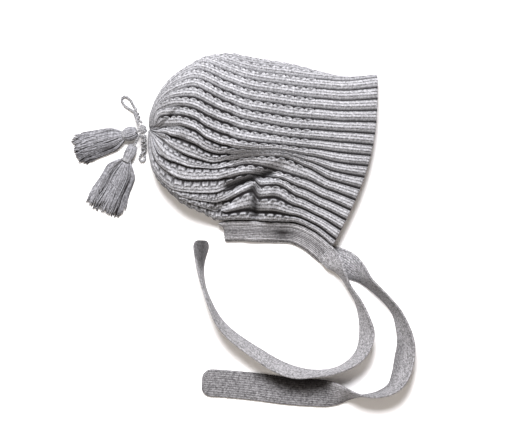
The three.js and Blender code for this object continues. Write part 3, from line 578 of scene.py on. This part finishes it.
# %% Crown, outside
NEAR_COLUMNS = 12
FAR_COLUMNS = 6
CROWN_ROWS = 300
ROLL = WALL / 2
FACE_ROLL = 0.011  # the rolled edge at the face, as a share of the way to the gather
NECK_ROLL = 0.22  # the rolled edge at the neck, in ribs


def rolled_steps(length):
    """Distances from an edge that follow a quarter circle, closer together at the edge."""
    return length * (1 - np.cos(np.linspace(0, np.pi / 2, 6)[:-1]))


def crown_columns(near_step, far_step):
    far = np.arange(-16, FIRST_NEAR_RIB, 1 / far_step)
    near = np.arange(FIRST_NEAR_RIB, 15.35, 1 / near_step)
    edge = rolled_steps(NECK_ROLL)
    return np.r_[-RIBS_FAR + edge, far[far > -RIBS_FAR + 0.23], near, RIBS_NEAR - edge[::-1]]


def crown_rows(count, last):
    edge = rolled_steps(FACE_ROLL)
    return np.r_[edge, np.linspace(FACE_ROLL, last, count)]


def edge_rounding(stations, ribs):
    """How far the skin sinks towards the middle of the cloth near a free edge."""
    at, rib = np.meshgrid(stations, ribs, indexing="ij")
    from_face = np.clip(at / FACE_ROLL, 0, 1)
    from_neck = np.clip(np.minimum(rib + RIBS_FAR, RIBS_NEAR - rib) / NECK_ROLL, 0, 1)
    sink = lambda share: 1 - np.sqrt(1 - (1 - share) ** 2)
    return np.maximum(sink(from_face), sink(from_neck) * (1 - joined(at)))


stations = crown_rows(CROWN_ROWS, 1.0)
ribs = crown_columns(NEAR_COLUMNS, FAR_COLUMNS)
depth, dark = knit_relief(stations, ribs)
rounding = edge_rounding(stations, ribs)
depth = depth * (1 - rounding) + ROLL * rounding
# painted shade along the creases where the cloth turns in under itself
crease_painted_shade = np.array([crease_shade(at, ribs) for at in stations])
dark = np.maximum(dark, 0.9 * crease_painted_shade)
outside = crown_surface(stations, ribs, depth) + SHIFT
crown_outside = grid_sheet(
    "crown_outside", outside, ribs * WALES_PER_RIB, stations * KNIT_LENGTH / COURSE, dark
)

# %% [markdown]
# The last row is closed at the gather, where the draw cord pulls the knitting shut.

# %% Finish a skin
GATHER_WIDE = 12 * MM


def close_skin(bm):
    """Fills the gather with one face for the ring of open edges behind the seam."""
    open_edges = [edge for edge in bm.edges if edge.is_boundary]
    behind = min(vert.co.x for edge in open_edges for vert in edge.verts)
    ring = [edge for edge in open_edges if all(vert.co.x < behind + GATHER_WIDE for vert in edge.verts)]
    bmesh.ops.contextual_create(bm, geom=ring)


def close_inside(bm):
    close_skin(bm)
    bmesh.ops.reverse_faces(bm, faces=bm.faces)


mend(crown_outside, close_skin)
dress(crown_outside, RIB_WOOL)
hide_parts("crown")

# %% [markdown]
# Inside, the grooves stand up as low ridges. This skin shows only at the openings, so its grid is coarser.

# %% Crown, inside
def inside_depth(stations, ribs):
    at, rib = np.meshgrid(stations, ribs, indexing="ij")
    depth = WALL + 0.7 * MM * near_whole(rib) - 0.3 * MM
    rounding = edge_rounding(stations, ribs)
    return depth * (1 - rounding) + ROLL * rounding


inner_stations = crown_rows(110, 0.9)
inner_ribs = crown_columns(6, 5)
inside = crown_surface(inner_stations, inner_ribs, inside_depth(inner_stations, inner_ribs)) + SHIFT
# painted shade inside the bonnet: darker between the ridges, and darker further in from the face edge
between = 0.35 + 0.4 * (1 - near_whole(inner_ribs))
deeper = smooth_step(0.0, 0.12, inner_stations)[:, None]
crown_inside = grid_sheet(
    "crown_inside", inside, inner_ribs * WALES_PER_RIB, inner_stations * KNIT_LENGTH / COURSE,
    between * deeper,
)
mend(crown_inside, close_inside)
dress(crown_inside, RIB_WOOL)

# %% [markdown]
# The neckband is knitted sideways in four fine ribs. It runs along the upper edge of the neck, bends round
# behind the nape and comes back underneath: one strip, a closed section carried along a line of rows.

# %% Strips with a closed section
BAND_GROOVE = 0.9 * MM


def lengths_along(line):
    return np.r_[0, np.cumsum(np.linalg.norm(np.diff(line, axis=0), axis=1))]


def unit(vectors):
    return vectors / np.maximum(np.linalg.norm(vectors, axis=-1, keepdims=True), 1e-12)


def close_ends(bm):
    bmesh.ops.holes_fill(bm, edges=[edge for edge in bm.edges if edge.is_boundary])
    bmesh.ops.recalc_face_normals(bm, faces=bm.faces)


def strip(name, inner, outer, normal, thickness, relief, wales, courses, half_shape):
    """A strip between two edge lines, with a painted shade in its grooves. "relief" is the depth under the
    top face for a share of the width.
    """
    count = 40
    turn = np.linspace(0, 2 * np.pi, count + 1)
    side = np.sign(np.cos(turn)) * np.abs(np.cos(turn)) ** 0.5
    rise = np.sign(np.sin(turn)) * np.abs(np.sin(turn)) ** half_shape
    share = (1 - side) / 2
    sink = np.where(rise > 0, relief(share), 0)
    up = rise * (thickness / 2 - sink)
    centre = inner[:, None] + (outer - inner)[:, None] * share[:, None]
    points = centre + normal[:, None] * up[:, None]
    lengths = lengths_along((inner + outer) / 2)
    # painted shade where the top face sinks into its grooves
    dark = np.broadcast_to(np.clip(0.55 * sink / BAND_GROOVE, 0, 0.6), (len(inner), count + 1))
    piece = grid_sheet(name, points, share * wales, lengths / courses, dark)
    mend(piece, close_ends)
    return piece, lengths[-1]


BAND_WIDTH = 20 * MM
BAND_THICKNESS = 3 * MM
BAND_RIBS = 4
SEAM_GAP = 0.3 * MM
CAD_BAND_RELIEF = 0.6 * MM
BAND_SOFTNESS = 24  # rounds of smoothing
BAND_END_CUT = (7 * MM, 4 * MM)  # how far the rounded end draws back at the crown and at the free edge
BAND_END_REACH = 15 * MM
BAND_DENT = Vector((38 * MM, -3 * MM, 0))
BAND_DENT_RADIUS = 9 * MM


def lip_at(at, side):
    rib = RIBS_NEAR if side > 0 else -RIBS_FAR
    return crown_row(at, np.array([rib]), np.array([WALL / 2]))[0]


def band_edges(at, side):
    """Where the band meets the crown and where it ends. "side" is 1 for the upper edge, -1 underneath."""
    inner = lip_at(at, side)
    run = lip_at(max(0, at - 0.01), side) - lip_at(at + 0.01, side)
    away = unit(np.array([run[1], -run[0], 0]))
    rest = BAND_THICKNESS * 1.5 + SEAM_GAP + CAD_BAND_RELIEF if side > 0 else BAND_THICKNESS / 2
    if side < 0:
        inner[2] = rest
    fall = inner[2] - rest
    inner = inner + away * (SEAM_GAP + BAND_THICKNESS / 2 * fall / BAND_WIDTH)
    outer = inner + away * math.sqrt(BAND_WIDTH**2 - fall**2)
    outer[2] = rest
    return inner, outer


def band_line():
    """The band's two edges, from one front end to the other, with their corners rounded."""
    fronts = np.linspace(0, LAST_OPEN_AT, 70)
    above = [band_edges(at, 1) for at in fronts]
    below = [band_edges(at, -1) for at in fronts[::-1]]
    start, end = np.array(above[-1]), np.array(below[0])
    bend = []
    for share in np.linspace(0, 1, 26)[1:-1]:
        points = mix(start, end, (1 - math.cos(math.pi * share)) / 2)
        radius = (start[:, 2] - end[:, 2]) / 2
        points[:, 0] = mix(start, end, share)[:, 0] - radius * math.sin(math.pi * share)
        bend.append(points)
    rows = np.array(above + bend + below)
    for _ in range(BAND_SOFTNESS):
        rows[1:-1] = (rows[:-2] + 2 * rows[1:-1] + rows[2:]) / 4
    return rows[:, 0], rows[:, 1]


def band_relief(share):
    return BAND_GROOVE * near_whole(share * BAND_RIBS)


band_inner, band_outer = band_line()
along = np.gradient((band_inner + band_outer) / 2, axis=0)
band_normal = unit(np.cross(along, band_outer - band_inner))
if band_normal[0, 2] < 0:
    band_normal = -band_normal
neckband, band_length = strip(
    "neckband_knit", band_inner + SHIFT, band_outer + SHIFT, band_normal, BAND_THICKNESS, band_relief,
    BAND_RIBS * 3, COURSE, 0.5,
)


def shape_band(piece):
    """Rounds the folded end at the nape, and presses a dent where the band puckers below the second roll,
    with a painted shade in the dent.
    """
    verts = piece.data.vertices
    behind = min(vert.co.x for vert in verts)
    end_y = [vert.co.y for vert in verts if vert.co.x < behind + 1.5 * MM]
    middle, half = (max(end_y) + min(end_y)) / 2, (max(end_y) - min(end_y)) / 2
    for vert, shade in zip(verts, piece.data.attributes["deep"].data):
        off = (vert.co.y - middle) / half
        cut = BAND_END_CUT[0 if off > 0 else 1] * min(1.0, off * off)
        vert.co.x += cut * smooth_step(behind + BAND_END_REACH, behind, vert.co.x)
        away = (Vector((vert.co.x, vert.co.y, 0)) - BAND_DENT).length / BAND_DENT_RADIUS
        pressed = math.exp(-(away**2))
        if vert.co.z > 4 * MM:
            vert.co.z -= 2.0 * MM * pressed
            # painted shade in the dent
            shade.value = min(1.0, shade.value + 0.5 * pressed)


shape_band(neckband)
dress(neckband, BAND_WOOL)
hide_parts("neckband")
print("neckband length in mm", round(band_length * 1000, 1))

# %% [markdown]
# Each tie is a strip of stocking stitch, knitted on from a front end of the band. It lies where it fell: on
# its edge in places, folded over in others. Its route is the model's own.

# %% Ties
TIE_WIDTH = 25.5 * MM
TIE_THICKNESS = 2.8 * MM
TIE_CORNER = 9 * MM
TIE_SETTLES = 0.06  # share of its length over which a tie leaves the slope of the band
TIE_ROWS = 230
# painted shade: how dark the near tie's free end is made
END_SHADE = 0.8  # the near tie's free end curls in, so its face lies in its own shade
END_SHADE_FROM = 0.95
# painted shadow of the near tie on the far tie's flat stretch
UNDER_SHADE = 0.95
BESIDE_Y = -100 * MM  # the flat stretch lies on this side of the loop
KNITTED_ON = 1.6 * MM  # how far the tie's first rows lie in the band
# length, side, route (x and y in thousandths of the length, roll in degrees), lifts of its first points
TIE_NEAR = (336 * MM, 1, [
    (0, 0, 28), (22, -24, 52), (44, -55, 78), (62, -88, 84), (84, -122, 80), (100, -165, 70),
    (107, -209, 60), (95, -253, 68), (66, -283, 78), (26, -302, 83), (-26, -309, 80), (-77, -306, 69),
    (-124, -289, 66), (-168, -262, 68), (-211, -233, 71), (-246, -205, 74), (-272, -175, 78),
    (-292, -136, 83), (-309, -90, 86), (-319, -36, 78), (-316, 32, 50),
], [0.19, 0.3, 0.24, 0.08])
TIE_FAR = (340 * MM, -1, [
    (0, 0, 0), (46, -22, 8), (84, -47, 40), (118, -78, 70), (168, -126, 75), (195, -162, 72),
    (211, -206, 62), (218, -244, 54), (214, -285, 48), (201, -333, 56), (180, -362, 72), (145, -378, 83),
    (106, -382, 93), (70, -380, 112), (34, -379, 145), (-16, -377, 176), (-95, -372, 180),
    (-189, -360, 180), (-271, -352, 180), (-330, -349, 180),
], [0.005, 0.005])


def smooth_path(points):
    """A curve through points that never loops between them, with the share of them passed at each place."""
    points = np.asarray(points, float)
    padded = np.vstack([2 * points[0] - points[1], points, 2 * points[-1] - points[-2]])
    places, passed = [], []
    for i in range(1, len(padded) - 2):
        p0, p1, p2, p3 = padded[i - 1 : i + 3]
        d0, d1, d2 = (max(math.sqrt(np.linalg.norm(b - a)), 1e-6) for a, b in ((p0, p1), (p1, p2), (p2, p3)))
        leave = ((p1 - p0) / d0 - (p2 - p0) / (d0 + d1) + (p2 - p1) / d1) * d1
        arrive = ((p2 - p1) / d1 - (p3 - p1) / (d1 + d2) + (p3 - p2) / d2) * d1
        t = np.linspace(0, 1, 60, endpoint=i == len(padded) - 3)[:, None]
        bend = t**3 * (2 * p1 - 2 * p2 + leave + arrive) + t**2 * (3 * p2 - 3 * p1 - 2 * leave - arrive)
        places.append(bend + t * leave + p1)
        passed.append((i - 1 + t[:, 0]) / (len(points) - 1))
    return np.vstack(places), np.concatenate(passed)


def evenly(path, passed, shares):
    """Places at shares of a path's length, how much of its points each has passed, and the way it runs."""
    lengths = lengths_along(path)
    at_goal = lambda column: np.interp(shares * lengths[-1], lengths, column)
    place = np.apply_along_axis(at_goal, 0, path)
    way = np.apply_along_axis(at_goal, 0, np.gradient(path, lengths, axis=0))
    return place, at_goal(passed), unit(way), lengths[-1]


def make_tie(name, tie):
    length, side, route, lifts = tie
    route = np.array(route)
    ends = np.array(band_edges(0, side))
    along = (ends[0] - band_edges(0.02, side)[0]) * (1, 1, 0)
    ends += unit(along) * (SEAM_GAP - KNITTED_ON)
    start, start_across = ends.mean(axis=0), unit(ends[0] - ends[1])
    path, passed = smooth_path(route[:, :2] / 1000 * length)
    end_steps = TIE_CORNER / length * (1 - np.cos(np.linspace(0, np.pi / 2, 8)))
    shares = np.r_[np.linspace(0, 1 - TIE_CORNER / length, TIE_ROWS), 1 - end_steps[::-1][1:]]
    place, knots, way, path_length = evenly(path, passed, shares)
    points = np.linspace(0, 1, len(route))
    roll = np.radians(curve_through(points, route[:, 2])(knots))
    lift = curve_through(points, np.r_[lifts, np.zeros(len(route) - len(lifts))] * TIE_WIDTH)(knots)
    middle = np.c_[place * (length / path_length), np.zeros(len(place))] + start
    way = np.c_[way, np.zeros(len(way))]
    left = np.cross(UP, way)
    rolled = left * np.cos(roll)[:, None] + np.outer(np.sin(roll), UP)
    settled = smooth_step(0, TIE_SETTLES, shares)
    across = unit(mix(start_across, rolled, settled[:, None]))
    normal = unit(np.cross(way, across))
    width = mix(BAND_WIDTH, TIE_WIDTH, smooth_step(0, 0.08, shares))
    from_end = np.minimum(TIE_CORNER, (1 - shares) * length)
    rounding = TIE_CORNER - np.sqrt(np.maximum(0, TIE_CORNER**2 - (TIE_CORNER - from_end) ** 2))
    height = width / 2 * np.abs(np.sin(roll)) + TIE_THICKNESS / 2 * np.abs(np.cos(roll)) + lift
    middle[:, 2] = mix(start[2], height, settled)
    half = np.maximum(width / 2 - rounding, 0.5 * MM)[:, None]
    flat = lambda share: 0.35 * MM * np.exp(-(((np.abs(2 * share - 1) - 0.78) / 0.1) ** 2))
    piece, _ = strip(
        name, middle + across * half + SHIFT, middle - across * half + SHIFT, normal, TIE_THICKNESS, flat,
        12, COURSE, 0.6,
    )
    # painted shade on the near tie's free end, darkest along its middle
    near_free_end = middle[shares > END_SHADE_FROM] + SHIFT
    for vert, shade in zip(piece.data.vertices, piece.data.attributes["deep"].data):
        away = np.linalg.norm(near_free_end - np.array(vert.co), axis=1).min()
        if side > 0 and away < TIE_WIDTH / 2:
            shade.value = max(shade.value, END_SHADE * (1 - away / TIE_WIDTH))
    print(name, "length in mm", round(length * 1000), "points", len(shares))
    return piece, middle + SHIFT


tie_near, near_line = make_tie("tie_near_knit", TIE_NEAR)
tie_far, _ = make_tie("tie_far_knit", TIE_FAR)
# painted shadow: the far tie lies flat beside the near tie, which stands on its edge, so its flat stretch is
# darkened, most where the near tie is close
for vert, shade in zip(tie_far.data.vertices, tie_far.data.attributes["deep"].data):
    if vert.co.y < BESIDE_Y:
        away = np.hypot(near_line[:, 0] - vert.co.x, near_line[:, 1] - vert.co.y).min()
        close = mix(0.4, 1, smooth_step(27 * MM, 6 * MM, away)) * smooth_step(15 * MM, 5 * MM, vert.co.z)
        shade.value = max(shade.value, UNDER_SHADE * close)
for tie, node in ((tie_near, "tie_near"), (tie_far, "tie_far")):
    dress(tie, TIE_WOOL)
    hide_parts(node)

# %% [markdown]
# The draw cord and the tassels are bundles of round strands. One function makes many strands in one mesh: a
# grid for each is wrapped round the strand's own line, and its UV map counts the turns of its twist.

# %% Strands of yarn
def along_ways(start, *ways):
    """The points of a line that leaves a start by amounts along each of some directions."""
    return start + sum(np.outer(amounts, way) for way, amounts in ways)


def frames_along(points):
    """Two directions across a line at each of its points, carried along without a twist."""
    ways = unit(np.gradient(points, axis=0))
    first = np.cross(ways[0], UP)
    if np.linalg.norm(first) < 0.1:
        first = np.cross(ways[0], [1, 0, 0])
    sideways = [unit(first)]
    for way in ways[1:]:
        sideways.append(unit(sideways[-1] - way * np.dot(sideways[-1], way)))
    return np.array(sideways), np.cross(ways, sideways)


def strands(name, lines, radius, sides=6, twist=3.2 * MM, shades=None):
    """Round strands along lines of points, all with the same number of points, as one mesh. "shades" gives
    each strand a painted shade, which grows from nothing over the first third of its points.
    """
    count = len(lines[0])
    bm = bmesh.new()
    deep = bm.verts.layers.float.new("deep")
    uv_layer = bm.loops.layers.uv.new("stitches")
    for line, shade in zip(lines, shades or [0.0] * len(lines)):
        sideways, upwards = frames_along(line)
        lengths = lengths_along(line)
        made = bmesh.ops.create_grid(bm, x_segments=sides, y_segments=count - 1, size=0.5)["verts"]
        step = {v: (round((v.co.x + 0.5) * sides), round((v.co.y + 0.5) * (count - 1))) for v in made}
        for face in {face for vert in made for face in vert.link_faces}:
            for loop in face.loops:
                i, j = step[loop.vert]
                loop[uv_layer].uv = (i / sides, lengths[j] / twist)
            face.smooth = True
        for vert, (i, j) in step.items():
            angle = 2 * math.pi * (i % sides) / sides
            thick = radius * (0.35 if j in (0, count - 1) else 1.0)
            around = sideways[j] * math.cos(angle) + upwards[j] * math.sin(angle)
            vert.co = line[j] + around * thick
            vert[deep] = shade * smooth_step(0, 0.35, j / count)
    bmesh.ops.remove_doubles(bm, verts=bm.verts, dist=0.001 * MM)
    bmesh.ops.holes_fill(bm, edges=[edge for edge in bm.edges if edge.is_boundary], sides=sides)
    bmesh.ops.recalc_face_normals(bm, faces=bm.faces)
    piece = add_object(bm, name)
    print(name, len(lines), "strands", len(piece.data.polygons), "faces")
    return piece


def even_line(points, count):
    path, passed = smooth_path(points)
    return evenly(path, passed, np.linspace(0, 1, count))[0]


# %% [markdown]
# The draw cord is two plies of yarn, each a helix about the cord's line. Its two bows run from the knot
# down to the surface and back, and each bow's legs twist round each other.

# %% Draw cord
CORD_DIAMETER = 2.6 * MM
KNOT_DIAMETER = 9 * MM
PLY_TURN = 5.2 * MM
PLY_RADIUS = CORD_DIAMETER * 0.3
gather_end = np.array([
    SECTION["lowX"](1.0) * CROWN_DEPTH,
    (SECTION["topY"](1.0) + SECTION["lowY"](1.0)) / 2 * FACE_EDGE,
    (SECTION["crest"](1.0) + SECTION["bed"](1.0)) / 2 * LOFT,
]) + SHIFT
knot_middle = gather_end - (KNOT_DIAMETER / 2 + SEAM_GAP, 0, 0)
LOOP_UPPER = [
    (-0.9, 5.6, 1.3), (-2.4, 9.3, -2), (-4.5, 14.1, -9), (-6.8, 19.1, -13.6), (-9.9, 23.2, -14.6),
    (-12.1, 27.4, -14.8), (-15.6, 30.4, -14.8), (-17.8, 31, -14.8), (-19.9, 30, -14.8), (-20.6, 27.8, -14.8),
    (-19.7, 25.4, -14.8), (-17.2, 22.1, -14.8), (-13.3, 19.4, -14.6), (-9.8, 17.2, -13.6), (-7.6, 12.7, -9),
    (-5.6, 7.9, -2), (-3.9, 4.2, 1.2),
]
LOOP_LOWER = [
    (2.2, -5.5, 0.7), (2.3, -10, -4), (2.1, -17, -12), (1.5, -22.3, -14.8), (0.9, -26.6, -14.8),
    (0.1, -28.5, -14.8), (-1.5, -29.2, -14.8), (-3.1, -28.5, -14.8), (-3.9, -26.6, -14.8),
    (-3.2, -22.5, -14.8), (-1.5, -17, -12), (-1.1, -10, -4), (-1, -5.6, 0.7),
]


def plies(line, start=0.0):
    """The lines of the two plies of the cord about its middle line."""
    sideways, upwards = frames_along(line)
    made = []
    for ply in (0, 0.5):
        angle = start + 2 * np.pi * (lengths_along(line) / PLY_TURN + ply)
        around = sideways * np.cos(angle)[:, None] + upwards * np.sin(angle)[:, None]
        made.append(line + CORD_DIAMETER / 4 * around)
    return made


def rope(line, turns, eye_from):
    """Twists a loop's two legs round each other, from the knot to where its eye opens."""
    count = len(line)
    middle = (line + line[::-1]) / 2
    apart = (line - line[::-1]) / 2
    along = np.minimum(np.arange(count), count - 1 - np.arange(count)) / (count / 2)
    ways = unit(np.gradient(middle[: count // 2], axis=0))
    ways = np.vstack([ways, ways[::-1]])
    twist = smooth_step(0.02, 0.2, along) * (1 - smooth_step(eye_from - 0.15, eye_from, along))
    angle = 2 * np.pi * turns * smooth_step(0, eye_from, along)
    turned = apart * np.cos(angle)[:, None] + np.cross(ways, apart) * np.sin(angle)[:, None]
    close = mix(1.0, CORD_DIAMETER * 0.6 / np.maximum(np.linalg.norm(apart, axis=1), 1e-9), twist)
    turned = turned * np.minimum(close, 1.0)[:, None]
    made = middle + turned
    made[:, 2] += twist * CORD_DIAMETER / 2
    return made


def make_bow(name, route, node, turns, eye_from):
    line = rope(even_line(np.array(route) * MM + knot_middle, 150), turns, eye_from)
    piece = strands(name, plies(line), PLY_RADIUS, sides=8)
    dress(piece, CORD_WOOL)
    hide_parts(node)


make_bow("bow_upper_cord", LOOP_UPPER, "bow_loop_upper", 1.5, 0.6)
make_bow("bow_lower_cord", LOOP_LOWER, "bow_loop_lower", 2, 0.85)

# %% [markdown]
# The knot is the same cord, wound round itself in tilted rings.

# %% Knot
def ring_line(radius, tilt, turn):
    angle = np.linspace(0, 2 * np.pi * 0.985, 60)
    flat = np.c_[np.cos(angle), np.sin(angle), np.zeros(60)] * radius
    turned = flat @ np.array(Matrix.Rotation(tilt, 3, "X").transposed())
    return turned @ np.array(Matrix.Rotation(turn, 3, "Z").transposed()) + knot_middle


knot_lines = []
# tilt and turn in degrees, radius in mm
RINGS = [(90, 24, 3.3), (78, 60, 3.1), (100, -12, 3.1), (35, 10, 2.9), (140, 40, 2.9), (90, 24, 1.4)]
for tilt, turn, radius in RINGS:
    ring = ring_line(radius * MM, math.radians(tilt), math.radians(turn + 90))
    knot_lines += plies(ring, start=turn)
knot = strands("bow_knot_cord", knot_lines, PLY_RADIUS, sides=8)
dress(knot, CORD_WOOL)
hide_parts("bow_knot")

# %% [markdown]
# A tassel is a hank of yarn, bent over the cord, bound below its head and cut. So the strands run over the
# head, pull together at the binding and spread again as a skirt.

# %% Tassels
TASSEL_LENGTH = 63 * MM
TASSEL_HEAD = 13.5 * MM
STRAND = 1.25 * MM
SKIRT_STRANDS = 230
HEAD_STRANDS = 46
LOCK_BEND = 0.7 * MM
# the partings are painted dark for the shade in them
PARTINGS = 10  # dark gaps between the locks of a skirt
PARTING = 0.034  # half width of a gap, as a share of the skirt's half width
TASSELS = [  # name, head's place from the knot, heading, length, spread, plumpness and length of the head
    ("tassel_upper", -0.197, -0.059, 197, 0.90, 0.36, 1.00, 1.05),
    ("tassel_lower", -0.200, -0.345, 244, 1.00, 0.48, 0.78, 1.30),
]
BINDING = (3.9 * MM, 4.6 * MM)  # the binding's half width and half height
SKIRT_PILE = 6.4 * MM  # how high the strands lie on each other
KNOT_REACH = KNOT_DIAMETER / 2 + CORD_DIAMETER * 0.1 + SEAM_GAP


def skirt_lines(neck, forward, sideways, length, spread, chance):
    """The hanging strands, from the binding to their cut ends, which part into locks. Each gets a painted
    shade: darker in the partings, in the lower layers and on the side away from the light, with some random
    tone.
    """
    lines, shades = [], []
    gaps = np.sort(chance.uniform(-0.85, 0.85, PARTINGS))
    locks = chance.normal(0, 1.0, (PARTINGS + 1, 2))
    up_the_page = sideways[1]
    steps = np.linspace(0, 1, 15)
    for strand in range(SKIRT_STRANDS):
        share = (strand + chance.uniform(0, 1)) / SKIRT_STRANDS * 2 - 1
        parted = max(math.exp(-(((share - gap) / PARTING) ** 2)) for gap in gaps)
        layer = chance.uniform(0, 1) ** 0.8 * (1 - 0.7 * parted)
        aside = 0.5 * spread * share
        lock = locks[np.searchsorted(gaps, share)]
        own_length = length * (0.98 - 0.06 * share**2 - chance.uniform(0, 1) ** 1.5 * 0.26 + 0.02 * lock[0])
        bell = smooth_step(-0.1, 0.34, steps) * 0.92 + 0.2 * steps
        sway = chance.uniform(-1, 1) * 2.3 * MM * steps
        sway = sway * np.sin(steps * chance.uniform(3, 8) + chance.uniform(0, 6))
        half_neck = 2.4 * MM * share * (1 - smooth_step(0, 0.3, steps))
        wisp = chance.normal(0, 1.1) * MM * steps**3
        across = aside * bell + sway + half_neck + wisp + lock[1] * LOCK_BEND * np.sin(3 * steps)
        pile = SKIRT_PILE * (1 - 0.45 * share**2)
        rest = STRAND / 2 + layer * pile * (1 - 0.25 * steps)
        start = 1.5 * MM + 7.5 * MM * layer
        height = mix(start, rest, smooth_step(0, 0.35, steps))
        height += chance.uniform(-0.4, 0.4) * MM * np.sin(steps * 7 + chance.uniform(0, 6)) * steps
        line = along_ways(neck, (forward, own_length * steps), (sideways, across))
        line[:, 2] = np.maximum(height, STRAND / 2)
        lines.append(line)
        # painted shade: darker in lower layers and partings and on the side away from the light; the rest is
        # random tone
        dark = 0.45 * (1 - layer) + 0.2 * chance.uniform(0, 1) ** 2 + 0.95 * parted
        shades.append(min(1.0, dark + 0.45 * smooth_step(-0.2, 1, -share * up_the_page)))
    return lines, shades


def head_lines(head, forward, sideways, reach, half, chance):
    """The strands that run over the head, from the cord to the binding."""
    lines = []
    for strand in range(HEAD_STRANDS):
        angle = 2 * np.pi * (strand + chance.uniform(-0.25, 0.25)) / HEAD_STRANDS
        swing = np.linspace(0.12, 0.86, 15) * np.pi
        lean = chance.uniform(-0.12, 0.12) * np.sin(swing)
        ring = np.sin(swing) ** 0.8
        along = -np.cos(swing) * reach
        width = (half - STRAND / 2) * ring
        around = (sideways, width * np.cos(angle + lean)), (UP, width * np.sin(angle + lean))
        line = along_ways(head, (forward, along), *around)
        line[:, 2] = np.maximum(line[:, 2], STRAND / 2)
        lines.append(line)
    return lines


def make_tassel(row, seed):
    name, head_x, head_y, heading, length, spread, plump, long = row
    chance = np.random.default_rng(seed)
    radius = TASSEL_HEAD / 2
    head = knot_middle + np.array([head_x, head_y, 0]) * TASSEL_LENGTH
    head[2] = radius * 0.96
    to_head = unit(head - knot_middle)
    way = math.radians(heading)
    forward, sideways = np.array([(math.cos(way), math.sin(way), 0), (-math.sin(way), math.cos(way), 0)])
    reach = radius * long
    neck = head + forward * reach * 0.82
    neck[2] = radius * 0.9
    hanging = TASSEL_LENGTH * length - reach * 0.82
    lines, shades = skirt_lines(neck, forward, sideways, hanging, spread * TASSEL_LENGTH, chance)
    lines += head_lines(head, forward, sideways, reach, radius * plump, chance)
    lines += head_lines(head, forward, sideways, reach * 0.9, radius * plump * 0.8, chance)
    shades += list(chance.uniform(0, 0.3, len(lines) - len(shades)))
    tassel = strands(name + "_yarn", lines, STRAND / 2, sides=5, twist=9 * MM, shades=shades)
    dress(tassel, YARN_WOOL)
    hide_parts(name)
    tail = [knot_middle + to_head * KNOT_REACH, mix(knot_middle, head, 0.6), head - to_head * radius / 2]
    cord = strands(name + "_tail", plies(even_line(tail, 40)), PLY_RADIUS, sides=8)
    dress(cord, CORD_WOOL)
    angle = np.linspace(0, 2 * np.pi * 0.985, 30)
    ring = along_ways(neck, (sideways, BINDING[0] * np.cos(angle)), (UP, BINDING[1] * np.sin(angle)))
    rings = [ring + forward * turn * 1.1 * MM for turn in (-1, 0, 1)]
    binding = strands(name + "_binding", rings, 0.7 * MM, sides=6)
    dress(binding, CORD_WOOL)


for seed, row in enumerate(TASSELS):
    make_tassel(row, seed + 11)

# %% [markdown]
# The bonnet lies on plain white card. The world gives the light that comes from all round.

# %% Surface and surroundings
bm = bmesh.new()
bmesh.ops.create_grid(bm, x_segments=1, y_segments=1, size=4.0)
floor = add_object(bm, "floor")
floor.location.z = -0.05 * MM
card, tree = new_material("white card, uncoated")
place = add(tree, "TexCoord").outputs["Object"]
grain = add(tree, "TexNoise", {"Vector": place, "Scale": 900.0, "Detail": 3.0})
bump = add(tree, "Bump", {"Height": grain, "Distance": 0.05 * MM})
shader = add(tree, "BsdfPrincipled", {"Base Color": hex_color("#FBFAF9"), "Roughness": 0.9, "Normal": bump})
add(tree, "OutputMaterial", {"Surface": shader})
floor.data.materials.append(card)

world = bpy.data.worlds.new("room")
world.use_nodes = True
background = world.node_tree.nodes["Background"]
background.inputs["Color"].default_value = hex_color("#FFF1E6")
background.inputs["Strength"].default_value = 0.22
bpy.context.scene.world = world
bpy.context.scene.view_settings.view_transform = "Standard"
